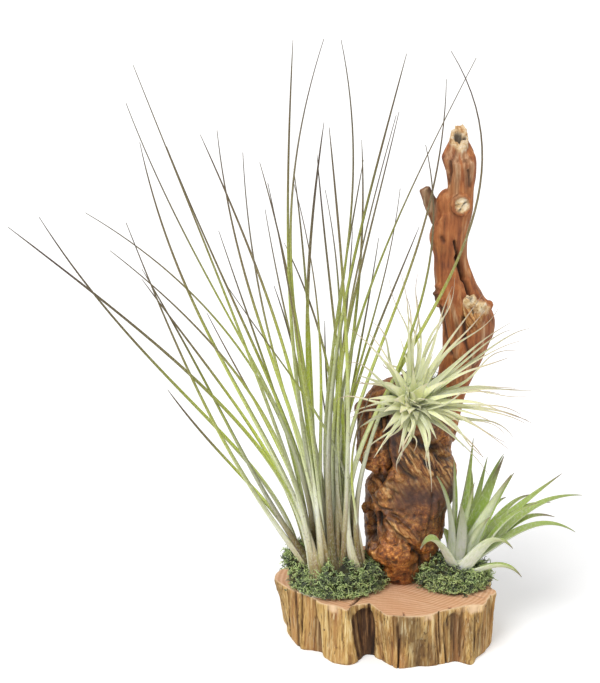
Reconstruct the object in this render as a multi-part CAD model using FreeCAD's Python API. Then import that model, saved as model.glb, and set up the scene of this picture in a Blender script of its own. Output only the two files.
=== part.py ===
import FreeCAD, Part
import math
import os

# Air plant holder: a leaning piece of driftwood screwed to a fluted slice of wood, with three
# clumps of moss and three air plants glued to it. Millimetres, +Z up, +X to the right and -Y
# towards the viewer. The origin is the centre of the slab's underside.

# Wood slice
SLAB_WIDTH = 162.0
SLAB_DEPTH = 120.0
SLAB_THICKNESS = 42.0

# Driftwood, measured above the slab from the middle of its foot
FOOT_X = 12.5
FOOT_Y = 3.0
BURL_WIDTH = 68.0
BURL_DEPTH = 56.0
BURL_HEIGHT = 154.0
LIMB_HEIGHT = 334.0
LIMB_OFFSET = 45.0
LIMB_SET_BACK = 5.0
LIMB_WIDTH = 35.2
LIMB_DEPTH = 31.0

# Lobes, knots and broken twigs of the driftwood
EAR_LENGTH = 62.0
EAR_WIDTH = 19.0
EAR_DEPTH = 22.0
LOW_LOBE_WIDTH = 22.0
SAWN_KNOT_WIDTH = 25.0
SAWN_KNOT_HEIGHT = 19.0
SAWN_KNOT_STEP = 6.0
ROUGH_KNOB_WIDTH = 15.0
BACK_LOBE_WIDTH = 30.0
KNOT_DIAMETER = 13.0
KNOT_STEP = 5.0
TWIG_LENGTH = 38.0
TWIG_DIAMETER = 7.0
SPLINTER_LENGTH = 26.0
SPLINTER_DIAMETER = 9.0
NUB_DIAMETER = 7.5

# Where they sit: across, to the front and up, as shares by burl_place and limb_place
EAR_PLACE_SHARES = (-0.62, -0.45, 0.70)
LOW_LOBE_PLACE_SHARES = (-0.22, -0.70, 0.20)
ROUGH_KNOB_PLACE_SHARES = (-0.40, -0.72, 0.51)
BACK_LOBE_PLACE_SHARES = (0.30, 0.72, 0.42)
BACK_LOBE_TALL_SHARE = 1.4
SAWN_KNOT_PLACE_SHARES = (0.0, -0.74, 0.285)
KNOT_ROOT_SHARES = (0.81, 0.0, 0.838)
KNOT_FACE_SHARES = (0.81, -0.35, 0.838)
KNOT_ROOT_WIDTH_SHARE = 1.4
TWIG_ROOT_SHARES = (0.68, 0.0, 0.775)
TWIG_WAY_SHARES = (-0.52, 0.0, 0.85)
SPLINTER_ROOT_SHARES = (1.0, -0.45, 0.59)
SPLINTER_WAY_SHARES = (0.12, -0.32, 0.90)
TWIG_END_SHARE = 0.67
NUB_ROOT_SHARES = (0.91, 0.0, 0.617)
NUB_OUT_SHARE = 0.48
EAR_LEAN_DEGREES = 4.0
SAWN_KNOT_LEAN_DEGREES = -12.0

# Screws from below into the foot
SCREW_LENGTH = 60.0
SCREW_DIAMETER = 4.5
SCREW_HEAD_DIAMETER = 9.0
SCREW_HEAD_HEIGHT = 3.6
SCREW_TIP_LENGTH = 7.0
SCREW_SPACING = 12.0
SCREW_RECESS = 2.0
SCREW_CLEARANCE = 0.35
DRIVE_SLOT_WIDTH = 1.2
DRIVE_SLOT_DEPTH = 1.8

# Rush-leaved plant on the left
RUSH_X = -38.0
RUSH_Y = -16.0
RUSH_CLUMP_HALF_WIDTH = 17.0
RUSH_CLUMP_HALF_DEPTH = 9.0
RUSH_BULB_LENGTH = 26.0
RUSH_BULB_RADIUS = 5.0
RUSH_REACH = 230.0
RUSH_SPREAD = 100.0
RUSH_HEIGHT = 375.0
RUSH_LEAF_WIDTH = 4.0
RUSH_LEAF_THICKNESS = 2.6

# Fine-leaved plant on the burl's shoulder
TOP_BULB_RADIUS = 9.0
TOP_BULB_LENGTH = 17.0
TOP_REACH = 80.0
TOP_LEAF_WIDTH = 4.6
TOP_LEAF_THICKNESS = 1.5
TOP_HEART_LENGTH = 34.0
TOP_HEART_COUNT = 21

# Broad-leaved plant on the right
RIGHT_X = 52.0
RIGHT_Y = -6.0
RIGHT_BULB_RADIUS = 9.5
RIGHT_BULB_LENGTH = 20.0
RIGHT_REACH = 100.0
RIGHT_LEAF_WIDTH = 9.6
RIGHT_LEAF_THICKNESS = 2.2

# Moss and glue
MOSS_LEFT_X = -37.0
MOSS_LEFT_Y = -6.0
MOSS_LEFT_HALF_WIDTH = 40.0
MOSS_LEFT_HALF_DEPTH = 28.0
MOSS_LEFT_HEIGHT = 22.0
MOSS_RIGHT_X = 51.0
MOSS_RIGHT_Y = -3.0
MOSS_RIGHT_HALF_WIDTH = 30.0
MOSS_RIGHT_HALF_DEPTH = 24.0
MOSS_RIGHT_HEIGHT = 17.0
MOSS_TOP_HALF_WIDTH = 19.0
MOSS_TOP_THICKNESS = 10.0
GLUE_THICKNESS = 2.5
GLUE_MARGIN = 3.0
CUT_OVERRUN = 5.0

# Outline of the slab as shares of its half width and half depth: the sawn top, then the
# underside, point by point round the flutes. The back half runs from the right-hand end.
SLAB_TOP_SHARES = [
    (-0.99, 0.02), (-0.86, -0.25), (-0.77, -0.38), (-0.65, -0.50), (-0.57, -0.67), (-0.42, -0.77),
    (-0.35, -0.85), (-0.28, -0.72), (-0.15, -0.68), (-0.09, -0.80), (-0.01, -0.97), (0.10, -1.00),
    (0.23, -1.00), (0.35, -0.99), (0.47, -0.88), (0.63, -0.77), (0.74, -0.72), (0.86, -0.71),
    (0.93, -0.48), (1.00, -0.35), (0.94, -0.13), (0.99, 0.10), (0.91, 0.33), (0.82, 0.50),
    (0.74, 0.70), (0.57, 0.80), (0.44, 0.95), (0.25, 1.00), (0.07, 0.93), (-0.10, 1.00),
    (-0.27, 0.95), (-0.42, 0.82), (-0.58, 0.78), (-0.72, 0.63), (-0.79, 0.43), (-0.94, 0.27),
]
SLAB_UNDERSIDE_SHARES = [
    (-0.89, 0.13), (-0.84, -0.18), (-0.75, -0.47), (-0.63, -0.53), (-0.53, -0.72), (-0.46, -0.83),
    (-0.33, -0.88), (-0.21, -0.78), (-0.15, -0.68), (-0.06, -0.75), (0.04, -0.90), (0.10, -0.97),
    (0.23, -0.95), (0.37, -0.92), (0.52, -0.85), (0.65, -0.83), (0.75, -0.88), (0.81, -0.70),
    (0.90, -0.53), (0.96, -0.32), (0.91, -0.10), (0.94, 0.13), (0.89, 0.33), (0.84, 0.47),
    (0.72, 0.67), (0.58, 0.77), (0.42, 0.90), (0.25, 0.97), (0.10, 0.90), (-0.07, 0.97),
    (-0.27, 0.90), (-0.40, 0.80), (-0.56, 0.73), (-0.69, 0.60), (-0.77, 0.43), (-0.88, 0.30),
]

# Burl from its foot to its crown: height, middle, half width, half depth, each as a share.
BURL_SHARES = [
    (0.00, 0.00, 0.37, 0.46), (0.035, -0.02, 0.46, 0.55), (0.11, -0.02, 0.70, 0.74),
    (0.19, 0.03, 0.78, 0.84), (0.29, 0.05, 0.87, 0.92), (0.37, 0.11, 0.91, 0.96),
    (0.44, 0.20, 0.95, 1.00), (0.54, 0.14, 0.94, 0.97), (0.64, 0.03, 0.96, 0.97),
    (0.74, 0.02, 0.98, 1.00), (0.84, 0.08, 1.00, 0.98), (0.90, 0.14, 0.95, 0.88),
    (0.955, 0.15, 0.78, 0.70), (0.99, 0.13, 0.48, 0.44), (1.00, 0.13, 0.20, 0.20),
]
# Limb from inside the burl to its sawn end: height, offset, set back, half width, as shares.
LIMB_SHARES = [
    (0.32, 0.62, 0.40, 0.50), (0.38, 0.68, 0.60, 0.57), (0.435, 0.77, 0.80, 0.62),
    (0.485, 0.88, 0.90, 0.77), (0.53, 0.98, 1.00, 0.88), (0.575, 1.00, 1.10, 1.00),
    (0.617, 0.91, 1.20, 0.96), (0.665, 0.77, 1.25, 0.79), (0.72, 0.68, 1.20, 0.64),
    (0.77, 0.67, 1.05, 0.69), (0.83, 0.80, 0.95, 0.54), (0.875, 0.82, 0.90, 0.50),
    (0.935, 0.80, 1.00, 0.65), (0.98, 0.78, 1.05, 0.55), (1.00, 0.78, 1.05, 0.53),
]
SECTION_POINTS = 12

# Round clumps of moss: radius shares at even angles, and level shares of height and spread.
MOSS_OUTLINE_SHARES = [0.98, 0.88, 0.97, 0.86, 1.00, 0.90, 0.98, 0.85, 0.93, 1.00, 0.87, 0.95]
MOSS_LEVEL_SHARES = [(0.0, 0.93), (0.28, 1.00), (0.62, 0.90), (0.88, 0.66), (1.0, 0.34)]
MOSS_LEFT_TURN_DEGREES = 23.0
MOSS_RIGHT_TURN_DEGREES = 57.0

# Plant bases: radius and height shares from the seat to the tip.
BULB_SHARES = [(0.50, 0.0), (0.90, 0.22), (1.00, 0.45), (0.87, 0.75), (0.56, 0.93)]

# Bulbs of the rush plant as shares of the clump's half width and half depth.
RUSH_BULB_SHARES = [
    (-1.00, 0.35), (-0.62, -0.75), (-0.28, 0.60), (0.12, -0.60), (0.52, 0.85), (1.00, -0.25),
]
# Leaves of each bulb: reach, spread and height of the tip as shares, then the lean of the
# leaf at its base and at its tip in degrees, leaning left where negative.
RUSH_LEAF_SHARES = [
    [(-0.87, 0.07, 0.68, -10, -30), (-0.59, -0.43, 0.70, -34, -18), (-0.56, -0.18, 0.60, -33, -28),
     (-0.61, 0.22, 0.88, 0, -20), (-0.40, 0.85, 0.44, -10, -30), (-0.60, 0.70, 0.52, -12, -38),
     (-0.52, 0.52, 0.31, -26, -38)],
    [(-0.94, -0.23, 0.68, -4, -50), (-0.63, -0.58, 0.66, -6, -48), (-0.59, 0.62, 0.79, -12, -12),
     (-0.39, 0.07, 0.83, -4, -24), (-0.26, -0.38, 0.82, -8, -2), (-0.12, -0.18, 0.76, -4, -15),
     (-0.18, 0.37, 0.53, -4, -20), (-0.36, 0.95, 0.60, -6, -20)],
    [(-0.75, 0.37, 0.67, -6, -60), (-0.57, -0.13, 0.96, -15, -20), (-0.51, 0.67, 0.78, -8, -22),
     (-0.35, 0.47, 0.82, -7, -6), (-0.22, 0.27, 0.77, -10, -16), (-0.21, 0.82, 0.65, -6, -10),
     (-0.03, 0.37, 0.99, -6, 18), (-0.03, 0.12, 0.85, -6, 8), (-0.12, 1.00, 0.72, -4, -8)],
    [(-0.19, -0.43, 0.77, -6, -11), (-0.12, -0.03, 1.00, -12, 3), (0.20, -0.13, 0.98, -6, 14),
     (0.09, 0.72, 0.79, -3, -3), (-0.02, -0.53, 0.87, 3, -6), (-0.05, 0.17, 0.79, 3, -5),
     (-0.15, 0.87, 0.58, 0, -28), (0.28, 0.92, 0.61, -4, 24), (0.07, 1.05, 0.60, 0, 4)],
    [(0.02, 0.32, 0.99, -12, -12), (0.20, 0.57, 0.85, -8, 13), (0.32, 0.03, 0.93, -10, 0),
     (0.20, 0.30, 0.72, -16, 6), (-0.32, -0.45, 0.60, 5, -30), (-0.02, 0.97, 0.68, -8, -12),
     (0.10, 0.95, 0.74, -12, 10), (0.14, 0.40, 0.62, -2, 8)],
    [(0.17, -0.28, 0.88, -8, 14), (0.40, -0.05, 0.97, -14, 26), (0.33, 0.01, 0.98, -20, -33),
     (0.26, -0.10, 0.82, -12, -14), (0.11, -0.33, 0.38, -8, 22), (-0.03, 0.72, 0.30, -6, -6),
     (0.05, 1.00, 0.55, -10, 8), (-0.02, 0.90, 0.42, -8, 0)],
]
# Where its leaves start round a bulb, and the level that their tips' heights count from
RUSH_RING_SHARE = 1.03
RUSH_START_SHARE = 0.70
RUSH_LEVEL_SHARE = 0.60
# Leaf half width along a rush leaf: length share, width share.
RUSH_TAPER_SHARES = [(0.0, 0.66), (0.06, 0.95), (0.28, 1.0), (0.6, 0.72), (0.86, 0.40), (1.0, 0.16)]

# Tips of the top plant from its heart, as shares of its reach, clockwise from the upper left.
TOP_TIP_SHARES = [
    (-0.48, 0.06, 0.55), (-0.62, -0.12, 0.56), (-0.68, -0.25, 0.29), (-0.59, -0.06, 0.10),
    (-0.74, -0.38, -0.01), (-0.65, -0.44, -0.13), (-0.49, -0.46, -0.47), (-0.27, -0.44, -0.51),
    (-0.19, -0.46, -0.58), (-0.16, -0.56, -0.39), (0.05, -0.41, -0.78), (0.08, -0.51, -0.61),
    (0.54, -0.44, -0.63), (0.51, -0.56, -0.38), (0.71, -0.38, -0.40), (0.76, -0.19, -0.42),
    (0.63, -0.50, -0.25), (0.82, -0.25, -0.22), (0.95, -0.06, -0.30), (0.90, -0.44, -0.11),
    (0.49, -0.75, 0.16), (0.86, -0.12, 0.02), (0.91, -0.38, 0.15), (0.84, 0.12, -0.01),
    (0.86, 0.06, 0.27), (0.73, -0.31, 0.50), (0.89, 0.19, 0.45), (0.74, -0.06, 0.63),
    (0.61, 0.25, 0.70), (0.46, -0.25, 0.95), (0.20, -0.44, 1.04), (0.20, 0.06, 1.04),
    (-0.01, 0.25, 0.94), (-0.23, 0.00, 1.05), (-0.26, 0.31, 0.94), (-0.08, 0.56, 0.64),
    (-0.29, 0.31, 0.13),
]
TOP_AXIS_SHARES = (0.30, -0.72, 0.62)
TOP_RISE_SHARE = 0.55
TOP_DROOP_SHARE = 0.15
# Young leaves at its heart: how far they open, and their size beside the long ones
YOUNG_FIRST_TILT_DEGREES = 12.0
YOUNG_MORE_TILT_DEGREES = 50.0
YOUNG_RISE_SHARE = 0.25
YOUNG_DROOP_SHARE = 0.10
YOUNG_SHORTEST_SHARE = 0.55
YOUNG_WIDTH_SHARE = 0.60
YOUNG_THICKNESS_SHARE = 0.80
TOP_TAPER_SHARES = [(0.0, 0.62), (0.1, 1.0), (0.3, 0.84), (0.6, 0.46), (0.85, 0.2), (1.0, 0.07)]

# Tips of the right plant from its base, as shares of its reach, and how far each one droops.
RIGHT_TIP_SHARES = [
    (0.44, -0.30, 0.16, 0.9), (0.34, -0.50, 0.47, 0.7), (-0.29, -0.40, 0.42, 1.3),
    (-0.03, -0.50, 0.80, 0.3), (0.33, -0.35, 0.96, 0.1), (0.32, 0.00, 0.96, 0.0),
    (0.38, -0.12, 0.88, 0.1), (0.83, -0.15, 0.44, 0.7), (0.72, 0.10, 0.45, 0.6),
    (0.71, 0.25, 0.50, 0.5), (0.92, 0.15, 0.60, 0.4), (0.80, 0.35, 0.69, 0.0),
    (0.11, 0.10, 1.06, 0.0), (-0.05, -0.16, 1.00, 0.0), (-0.19, -0.40, 0.97, 0.2),
    (0.10, -0.15, 0.82, 0.0), (0.41, 0.45, 0.46, 0.5), (0.63, 0.50, 0.46, 0.5),
    (-0.10, 0.34, 0.26, 0.6), (0.16, 0.66, 0.62, 0.5), (0.40, 0.62, 0.74, 0.3),
    (0.56, -0.22, 0.70, 0.3), (0.20, -0.30, 0.62, 0.2), (0.24, 0.30, 0.84, 0.1),
]
RIGHT_OUTER_COUNT = 12
RIGHT_AXIS_SHARES = (0.36, -0.22, 0.91)
RIGHT_RISE_SHARE = 0.45
RIGHT_TAPER_SHARES = [(0.0, 0.58), (0.14, 1.0), (0.34, 0.88), (0.6, 0.58), (0.84, 0.28), (1.0, 0.07)]

# A leaf's section, a shallow channel open to its plant's axis: shares of its half width and
# half thickness, round from its left edge
LEAF_SECTION_SHARES = [
    (-1.0, 0.60), (-0.52, -0.72), (0.52, -0.72), (1.0, 0.60), (0.42, 0.08), (-0.42, 0.08),
]

# Share of a leaf's chord over which its base and its tip hold their directions
HOLD_SHARE = 0.40
# A rush leaf that reaches far turns sooner at its base and later at its tip
BASE_HOLD_LOSS_SHARE = 0.15
TIP_HOLD_GAIN_SHARE = 0.08
# Tiers on which a rosette's leaves start, in degrees from the axis
ROSETTE_TIERS = [98.0, 78.0, 58.0, 40.0]
GOLDEN_ANGLE = 137.508


def vec(x, y, z):
    return FreeCAD.Vector(x, y, z)


def unit(v):
    return v * (1 / v.Length)


UP = vec(0, 0, 1)
LEFT_TO_RIGHT = vec(1, 0, 0)


def closed_spline(points):
    """A smooth closed wire through points."""
    curve = Part.BSplineCurve()
    curve.interpolate(Points=points, PeriodicFlag=True)
    return Part.Wire(curve.toShape())


def frame_across(axis):
    """Two unit vectors square to axis and to each other."""
    side = axis.cross(UP)
    if side.Length < math.sin(math.radians(5)):
        side = axis.cross(LEFT_TO_RIGHT)
    side = unit(side)
    return side, unit(side.cross(axis))


def ellipsoid(centre, half_x, half_y, half_z, lean_degrees=0.0):
    """An ellipsoid at centre, leaned in the picture's plane."""
    matrix = FreeCAD.Matrix()
    matrix.scale(half_x, half_y, half_z)
    shape = Part.makeSphere(1).transformGeometry(matrix)
    shape.rotate(vec(0, 0, 0), vec(0, 1, 0), lean_degrees)
    shape.translate(centre)
    return shape


def frustum(start, end, start_radius, end_radius):
    """A straight round piece from start to end that tapers."""
    return Part.makeCone(start_radius, end_radius, (end - start).Length, start, end - start)


def solids_of(shapes):
    """Every solid of several nodes."""
    return [solid for shape in shapes for solid in shape.Solids]


def save(shape, name):
    """Write one node and say what it holds."""
    print(name, "solids", len(shape.Solids), "valid", shape.isValid(), "volume", round(shape.Volume))
    shape.exportStep("parts/" + name + ".step")


# Wood slice
def slab_wire(shares, height):
    half_x = SLAB_WIDTH / 2
    half_y = SLAB_DEPTH / 2
    return closed_spline([vec(x * half_x, y * half_y, height) for x, y in shares])


def screw_places():
    """The two places along the foot where the screws come up."""
    return [vec(FOOT_X + side * SCREW_SPACING / 2, FOOT_Y, 0) for side in (-1, 1)]


def screw_body(place, extra):
    """Head, shank and tip of one screw, grown by extra on its radius to cut its hole."""
    head_radius = SCREW_HEAD_DIAMETER / 2 + extra
    shank_radius = SCREW_DIAMETER / 2 + extra
    shoulder = SCREW_LENGTH - SCREW_TIP_LENGTH
    profile = [(0, 0), (head_radius, 0), (shank_radius, SCREW_HEAD_HEIGHT), (shank_radius, shoulder),
               (shank_radius / 4, SCREW_LENGTH), (0, SCREW_LENGTH), (0, 0)]
    seat = place + UP * SCREW_RECESS
    outline = Part.makePolygon([seat + vec(radius, 0, height) for radius, height in profile])
    return Part.Face(outline).revolve(seat, UP, 360)


def drive_recess(place):
    """The cross recess in a screw's head."""
    long_side = SCREW_HEAD_DIAMETER / 2
    corner = place + UP * SCREW_RECESS - vec(long_side / 2, DRIVE_SLOT_WIDTH / 2, 0)
    bar = Part.makeBox(long_side, DRIVE_SLOT_WIDTH, DRIVE_SLOT_DEPTH, corner)
    other = bar.copy()
    other.rotate(place, UP, 90)
    return bar.fuse(other)


def make_screws():
    screws = [screw_body(place, 0).cut(drive_recess(place)) for place in screw_places()]
    return Part.makeCompound([solid for screw in screws for solid in screw.Solids])


def make_slab():
    """The slice, with a stepped hole from below for each screw."""
    underside = slab_wire(SLAB_UNDERSIDE_SHARES, 0)
    top = slab_wire(SLAB_TOP_SHARES, SLAB_THICKNESS)
    slab = Part.makeLoft([underside, top], True, True)
    for place in screw_places():
        mouth_radius = SCREW_HEAD_DIAMETER / 2 + SCREW_CLEARANCE
        mouth = Part.makeCylinder(mouth_radius, SCREW_RECESS + CUT_OVERRUN, place - UP * CUT_OVERRUN)
        slab = slab.cut([mouth, screw_body(place, SCREW_CLEARANCE)])
    return slab


# Driftwood
def burl_point(shares, angle):
    """A point of the burl's skin. Lumps grow and fade round it, least at the left and right."""
    height, middle, half_width, half_depth = shares
    swell = 0.07 * math.sin(3 * angle + 9 * height) + 0.05 * math.sin(5 * angle - 14 * height)
    lump = 1 + swell * (0.35 + 0.65 * math.sin(angle) ** 2)
    x = FOOT_X + BURL_WIDTH / 2 * (middle + half_width * lump * math.cos(angle))
    y = FOOT_Y + BURL_DEPTH / 2 * half_depth * lump * math.sin(angle)
    return vec(x, y, SLAB_THICKNESS + BURL_HEIGHT * height)


def limb_point(shares, angle):
    """A point of the limb's skin, a soft rounded three-sided section that turns as it climbs."""
    height, offset, back, half_width = shares
    lump = 1 + 0.05 * math.sin(3 * angle + 11 * height) + 0.04 * math.sin(2 * angle - 8 * height)
    x = FOOT_X + LIMB_OFFSET * offset + LIMB_WIDTH / 2 * half_width * lump * math.cos(angle)
    y = FOOT_Y + LIMB_SET_BACK * back + LIMB_DEPTH / 2 * half_width * lump * math.sin(angle)
    return vec(x, y, SLAB_THICKNESS + LIMB_HEIGHT * height)


def skin(table, point):
    """A closed solid through the sections of a table."""
    turn = 2 * math.pi / SECTION_POINTS
    wires = [closed_spline([point(row, k * turn) for k in range(SECTION_POINTS)]) for row in table]
    return Part.makeLoft(wires, True, False)


def burl_place(across, front, height):
    """A place on the burl, as shares of its half width, half depth and height from its foot."""
    return vec(FOOT_X + across * BURL_WIDTH / 2, FOOT_Y + front * BURL_DEPTH / 2,
               SLAB_THICKNESS + height * BURL_HEIGHT)


def limb_place(across, front, height):
    """A place on the limb, as shares of its lean, its depth and its height above the slab."""
    return vec(FOOT_X + across * LIMB_OFFSET, FOOT_Y + LIMB_SET_BACK + front * LIMB_DEPTH / 2,
               SLAB_THICKNESS + height * LIMB_HEIGHT)


def make_driftwood():
    burl = skin(BURL_SHARES, burl_point)
    limb = skin(LIMB_SHARES, limb_point)
    ear = ellipsoid(burl_place(*EAR_PLACE_SHARES), EAR_WIDTH / 2, EAR_DEPTH / 2, EAR_LENGTH / 2,
                    EAR_LEAN_DEGREES)
    low_radius = LOW_LOBE_WIDTH / 2
    low_lobe = ellipsoid(burl_place(*LOW_LOBE_PLACE_SHARES), low_radius, low_radius, low_radius)
    rough_radius = ROUGH_KNOB_WIDTH / 2
    rough_knob = ellipsoid(burl_place(*ROUGH_KNOB_PLACE_SHARES), rough_radius, rough_radius,
                           rough_radius)
    back_radius = BACK_LOBE_WIDTH / 2
    back_lobe = ellipsoid(burl_place(*BACK_LOBE_PLACE_SHARES), back_radius, back_radius,
                          back_radius * BACK_LOBE_TALL_SHARE)
    sawn_knot = ellipsoid(burl_place(*SAWN_KNOT_PLACE_SHARES), SAWN_KNOT_WIDTH / 2, SAWN_KNOT_STEP,
                          SAWN_KNOT_HEIGHT / 2, SAWN_KNOT_LEAN_DEGREES)
    knot_root = limb_place(*KNOT_ROOT_SHARES)
    knot_face = limb_place(*KNOT_FACE_SHARES) - vec(0, KNOT_STEP, 0)
    knot = frustum(knot_root, knot_face, KNOT_DIAMETER / 2 * KNOT_ROOT_WIDTH_SHARE, KNOT_DIAMETER / 2)
    twig_root = limb_place(*TWIG_ROOT_SHARES)
    twig = frustum(twig_root, twig_root + unit(vec(*TWIG_WAY_SHARES)) * TWIG_LENGTH,
                   TWIG_DIAMETER / 2, TWIG_DIAMETER / 2 * TWIG_END_SHARE)
    splinter_root = limb_place(*SPLINTER_ROOT_SHARES)
    splinter = frustum(splinter_root, splinter_root + unit(vec(*SPLINTER_WAY_SHARES)) * SPLINTER_LENGTH,
                       SPLINTER_DIAMETER / 2, SPLINTER_DIAMETER / 2 * TWIG_END_SHARE)
    nub_radius = NUB_DIAMETER / 2
    nub_place = limb_place(*NUB_ROOT_SHARES) + vec(LIMB_WIDTH * NUB_OUT_SHARE, 0, 0)
    nub = ellipsoid(nub_place, nub_radius, nub_radius, nub_radius)
    wood = burl.fuse([limb, ear, low_lobe, rough_knob, back_lobe, sawn_knot, knot, twig, splinter, nub])
    return wood.cut([screw_body(place, 0) for place in screw_places()])


# Leaves
def curve_point(ends, share):
    """The point of a cubic curve from four control points, and its direction there."""
    a, b, c, d = ends
    rest = 1 - share
    point = a * rest ** 3 + b * (3 * rest ** 2 * share) + c * (3 * rest * share ** 2) + d * share ** 3
    along = (b - a) * rest ** 2 + (c - b) * (2 * rest * share) + (d - c) * share ** 2
    return point, unit(along)


def make_leaf(ends, side, width, thickness, taper_shares):
    """One leaf: channelled sections that shrink along a cubic curve, their width along side."""
    wires = []
    for length_share, width_share in taper_shares:
        point, along = curve_point(ends, length_share)
        across = unit(side - along * side.dot(along))
        normal = across.cross(along)
        half_width = width / 2 * width_share
        half_thickness = thickness / 2 * width_share
        corners = [point + across * (half_width * a) + normal * (half_thickness * n)
                   for a, n in LEAF_SECTION_SHARES]
        wires.append(Part.makePolygon(corners + corners[:1]))
    return Part.makeLoft(wires, True, False)


def make_bulb(seat, axis, radius, length):
    """A plant's onion-shaped base standing on its seat."""
    side = frame_across(axis)[0]
    outline = [seat + side * (radius * r) + axis * (length * h) for r, h in BULB_SHARES]
    tip = seat + axis * length
    curve = Part.BSplineCurve()
    curve.interpolate(Points=outline + [tip])
    floor = Part.makeLine(seat, outline[0])
    spine = Part.makeLine(tip, seat)
    face = Part.Face(Part.Wire([floor, curve.toShape(), spine]))
    return face.revolve(seat, axis, 360)


# Rush-leaved plant
def rush_bulb_seat(shares):
    return vec(RUSH_X + shares[0] * RUSH_CLUMP_HALF_WIDTH,
               RUSH_Y + shares[1] * RUSH_CLUMP_HALF_DEPTH, SLAB_THICKNESS + GLUE_THICKNESS)


def rush_leaf_ends(bulb_shares, leaf_shares, turn):
    """Control points of one rush leaf, which starts beside its bulb at the angle turn."""
    ring = RUSH_BULB_RADIUS * RUSH_RING_SHARE
    start = rush_bulb_seat(bulb_shares) + UP * (RUSH_BULB_LENGTH * RUSH_START_SHARE)
    start = start + vec(math.cos(turn), math.sin(turn), 0) * ring
    reach, spread, height, base_lean, tip_lean = leaf_shares
    level = SLAB_THICKNESS + GLUE_THICKNESS + RUSH_BULB_LENGTH * RUSH_LEVEL_SHARE
    tip = vec(RUSH_X + reach * RUSH_REACH, RUSH_Y + spread * RUSH_SPREAD, level + height * RUSH_HEIGHT)
    chord = (tip - start).Length
    drift = (tip.y - start.y) / chord
    base_way = vec(math.sin(math.radians(base_lean)), drift / 3, math.cos(math.radians(base_lean)))
    tip_way = vec(math.sin(math.radians(tip_lean)), drift, math.cos(math.radians(tip_lean)))
    base_hold = chord * (HOLD_SHARE - abs(reach) * BASE_HOLD_LOSS_SHARE)
    tip_hold = chord * (HOLD_SHARE + abs(reach) * TIP_HOLD_GAIN_SHARE)
    return [start, start + unit(base_way) * base_hold, tip - unit(tip_way) * tip_hold, tip]


def make_rush_leaves(index):
    """The leaves of one bulb, spaced evenly round it from its left."""
    leaves = []
    rows = RUSH_LEAF_SHARES[index]
    for place, row in enumerate(rows):
        turn = math.pi + 2 * math.pi * place / len(rows)
        ends = rush_leaf_ends(RUSH_BULB_SHARES[index], row, turn)
        side = vec(math.sin(turn), -math.cos(turn), 0)
        leaves.append(make_leaf(ends, side, RUSH_LEAF_WIDTH, RUSH_LEAF_THICKNESS, RUSH_TAPER_SHARES))
    return Part.makeCompound(leaves)


def make_rush_crowns():
    bulbs = [make_bulb(rush_bulb_seat(shares), UP, RUSH_BULB_RADIUS, RUSH_BULB_LENGTH)
             for shares in RUSH_BULB_SHARES]
    return Part.makeCompound(bulbs)


# Rosettes
def rosette_start(heart, axis, way, radius, tier_degrees):
    """Where a leaf leaves a rosette's heart: towards way, tier_degrees away from the axis."""
    outward = unit(way - axis * way.dot(axis))
    tier = math.radians(tier_degrees)
    return heart + outward * (radius * math.sin(tier)) + axis * (radius * math.cos(tier))


def arched_ends(start, tip, axis, rise, droop):
    """Control points of a leaf that rises along the axis and droops to its tip."""
    chord = tip - start
    hold = chord.Length * HOLD_SHARE
    base_way = unit(unit(chord) + axis * rise)
    tip_way = unit(unit(chord) - UP * droop - axis * (rise / 2))
    return [start, start + base_way * hold, tip - tip_way * hold, tip]


def top_axis():
    return unit(vec(*TOP_AXIS_SHARES))


def top_seat():
    """The seat of the top plant on the burl's shoulder, towards the viewer."""
    return burl_point(BURL_SHARES[-3], math.radians(-82))


def top_heart():
    return top_seat() + top_axis() * (GLUE_THICKNESS + TOP_BULB_LENGTH / 2)


def make_top_leaf(place, tip):
    axis = top_axis()
    heart = top_heart()
    ring = TOP_BULB_RADIUS + TOP_LEAF_THICKNESS / 2
    start = rosette_start(heart, axis, tip - heart, ring, ROSETTE_TIERS[place % 4])
    ends = arched_ends(start, tip, axis, TOP_RISE_SHARE, TOP_DROOP_SHARE)
    side = unit((tip - start).cross(axis))
    return make_leaf(ends, side, TOP_LEAF_WIDTH, TOP_LEAF_THICKNESS, TOP_TAPER_SHARES)


def make_top_tiers():
    """The long leaves of the top plant: those of the two outer tiers, then the two inner ones."""
    lower = []
    middle = []
    for place, (across, front, height) in enumerate(TOP_TIP_SHARES):
        tip = top_heart() + vec(across, front, height) * TOP_REACH
        tier = lower if place % 4 < 2 else middle
        tier.append(make_top_leaf(place, tip))
    return Part.makeCompound(lower), Part.makeCompound(middle)


def make_top_heart():
    """The short young leaves round the axis, each a golden angle on from the last."""
    axis = top_axis()
    side, other = frame_across(axis)
    leaves = []
    for place in range(TOP_HEART_COUNT):
        open_share = (place + 1) / TOP_HEART_COUNT
        turn = math.radians(GOLDEN_ANGLE * place)
        tilt = math.radians(YOUNG_FIRST_TILT_DEGREES + YOUNG_MORE_TILT_DEGREES * open_share)
        way = (side * math.cos(turn) + other * math.sin(turn)) * math.sin(tilt) + axis * math.cos(tilt)
        start = top_heart() + way * TOP_BULB_RADIUS
        length_share = YOUNG_SHORTEST_SHARE + (1 - YOUNG_SHORTEST_SHARE) * open_share
        tip = start + way * (TOP_HEART_LENGTH * length_share)
        ends = arched_ends(start, tip, axis, YOUNG_RISE_SHARE, YOUNG_DROOP_SHARE)
        across = unit(way.cross(axis))
        leaves.append(make_leaf(ends, across, TOP_LEAF_WIDTH * YOUNG_WIDTH_SHARE,
                                TOP_LEAF_THICKNESS * YOUNG_THICKNESS_SHARE, TOP_TAPER_SHARES))
    return Part.makeCompound(leaves)


def right_axis():
    return unit(vec(*RIGHT_AXIS_SHARES))


def right_seat():
    return vec(RIGHT_X, RIGHT_Y, SLAB_THICKNESS + GLUE_THICKNESS)


def right_heart():
    return right_seat() + UP * (RIGHT_BULB_LENGTH / 2)


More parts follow.
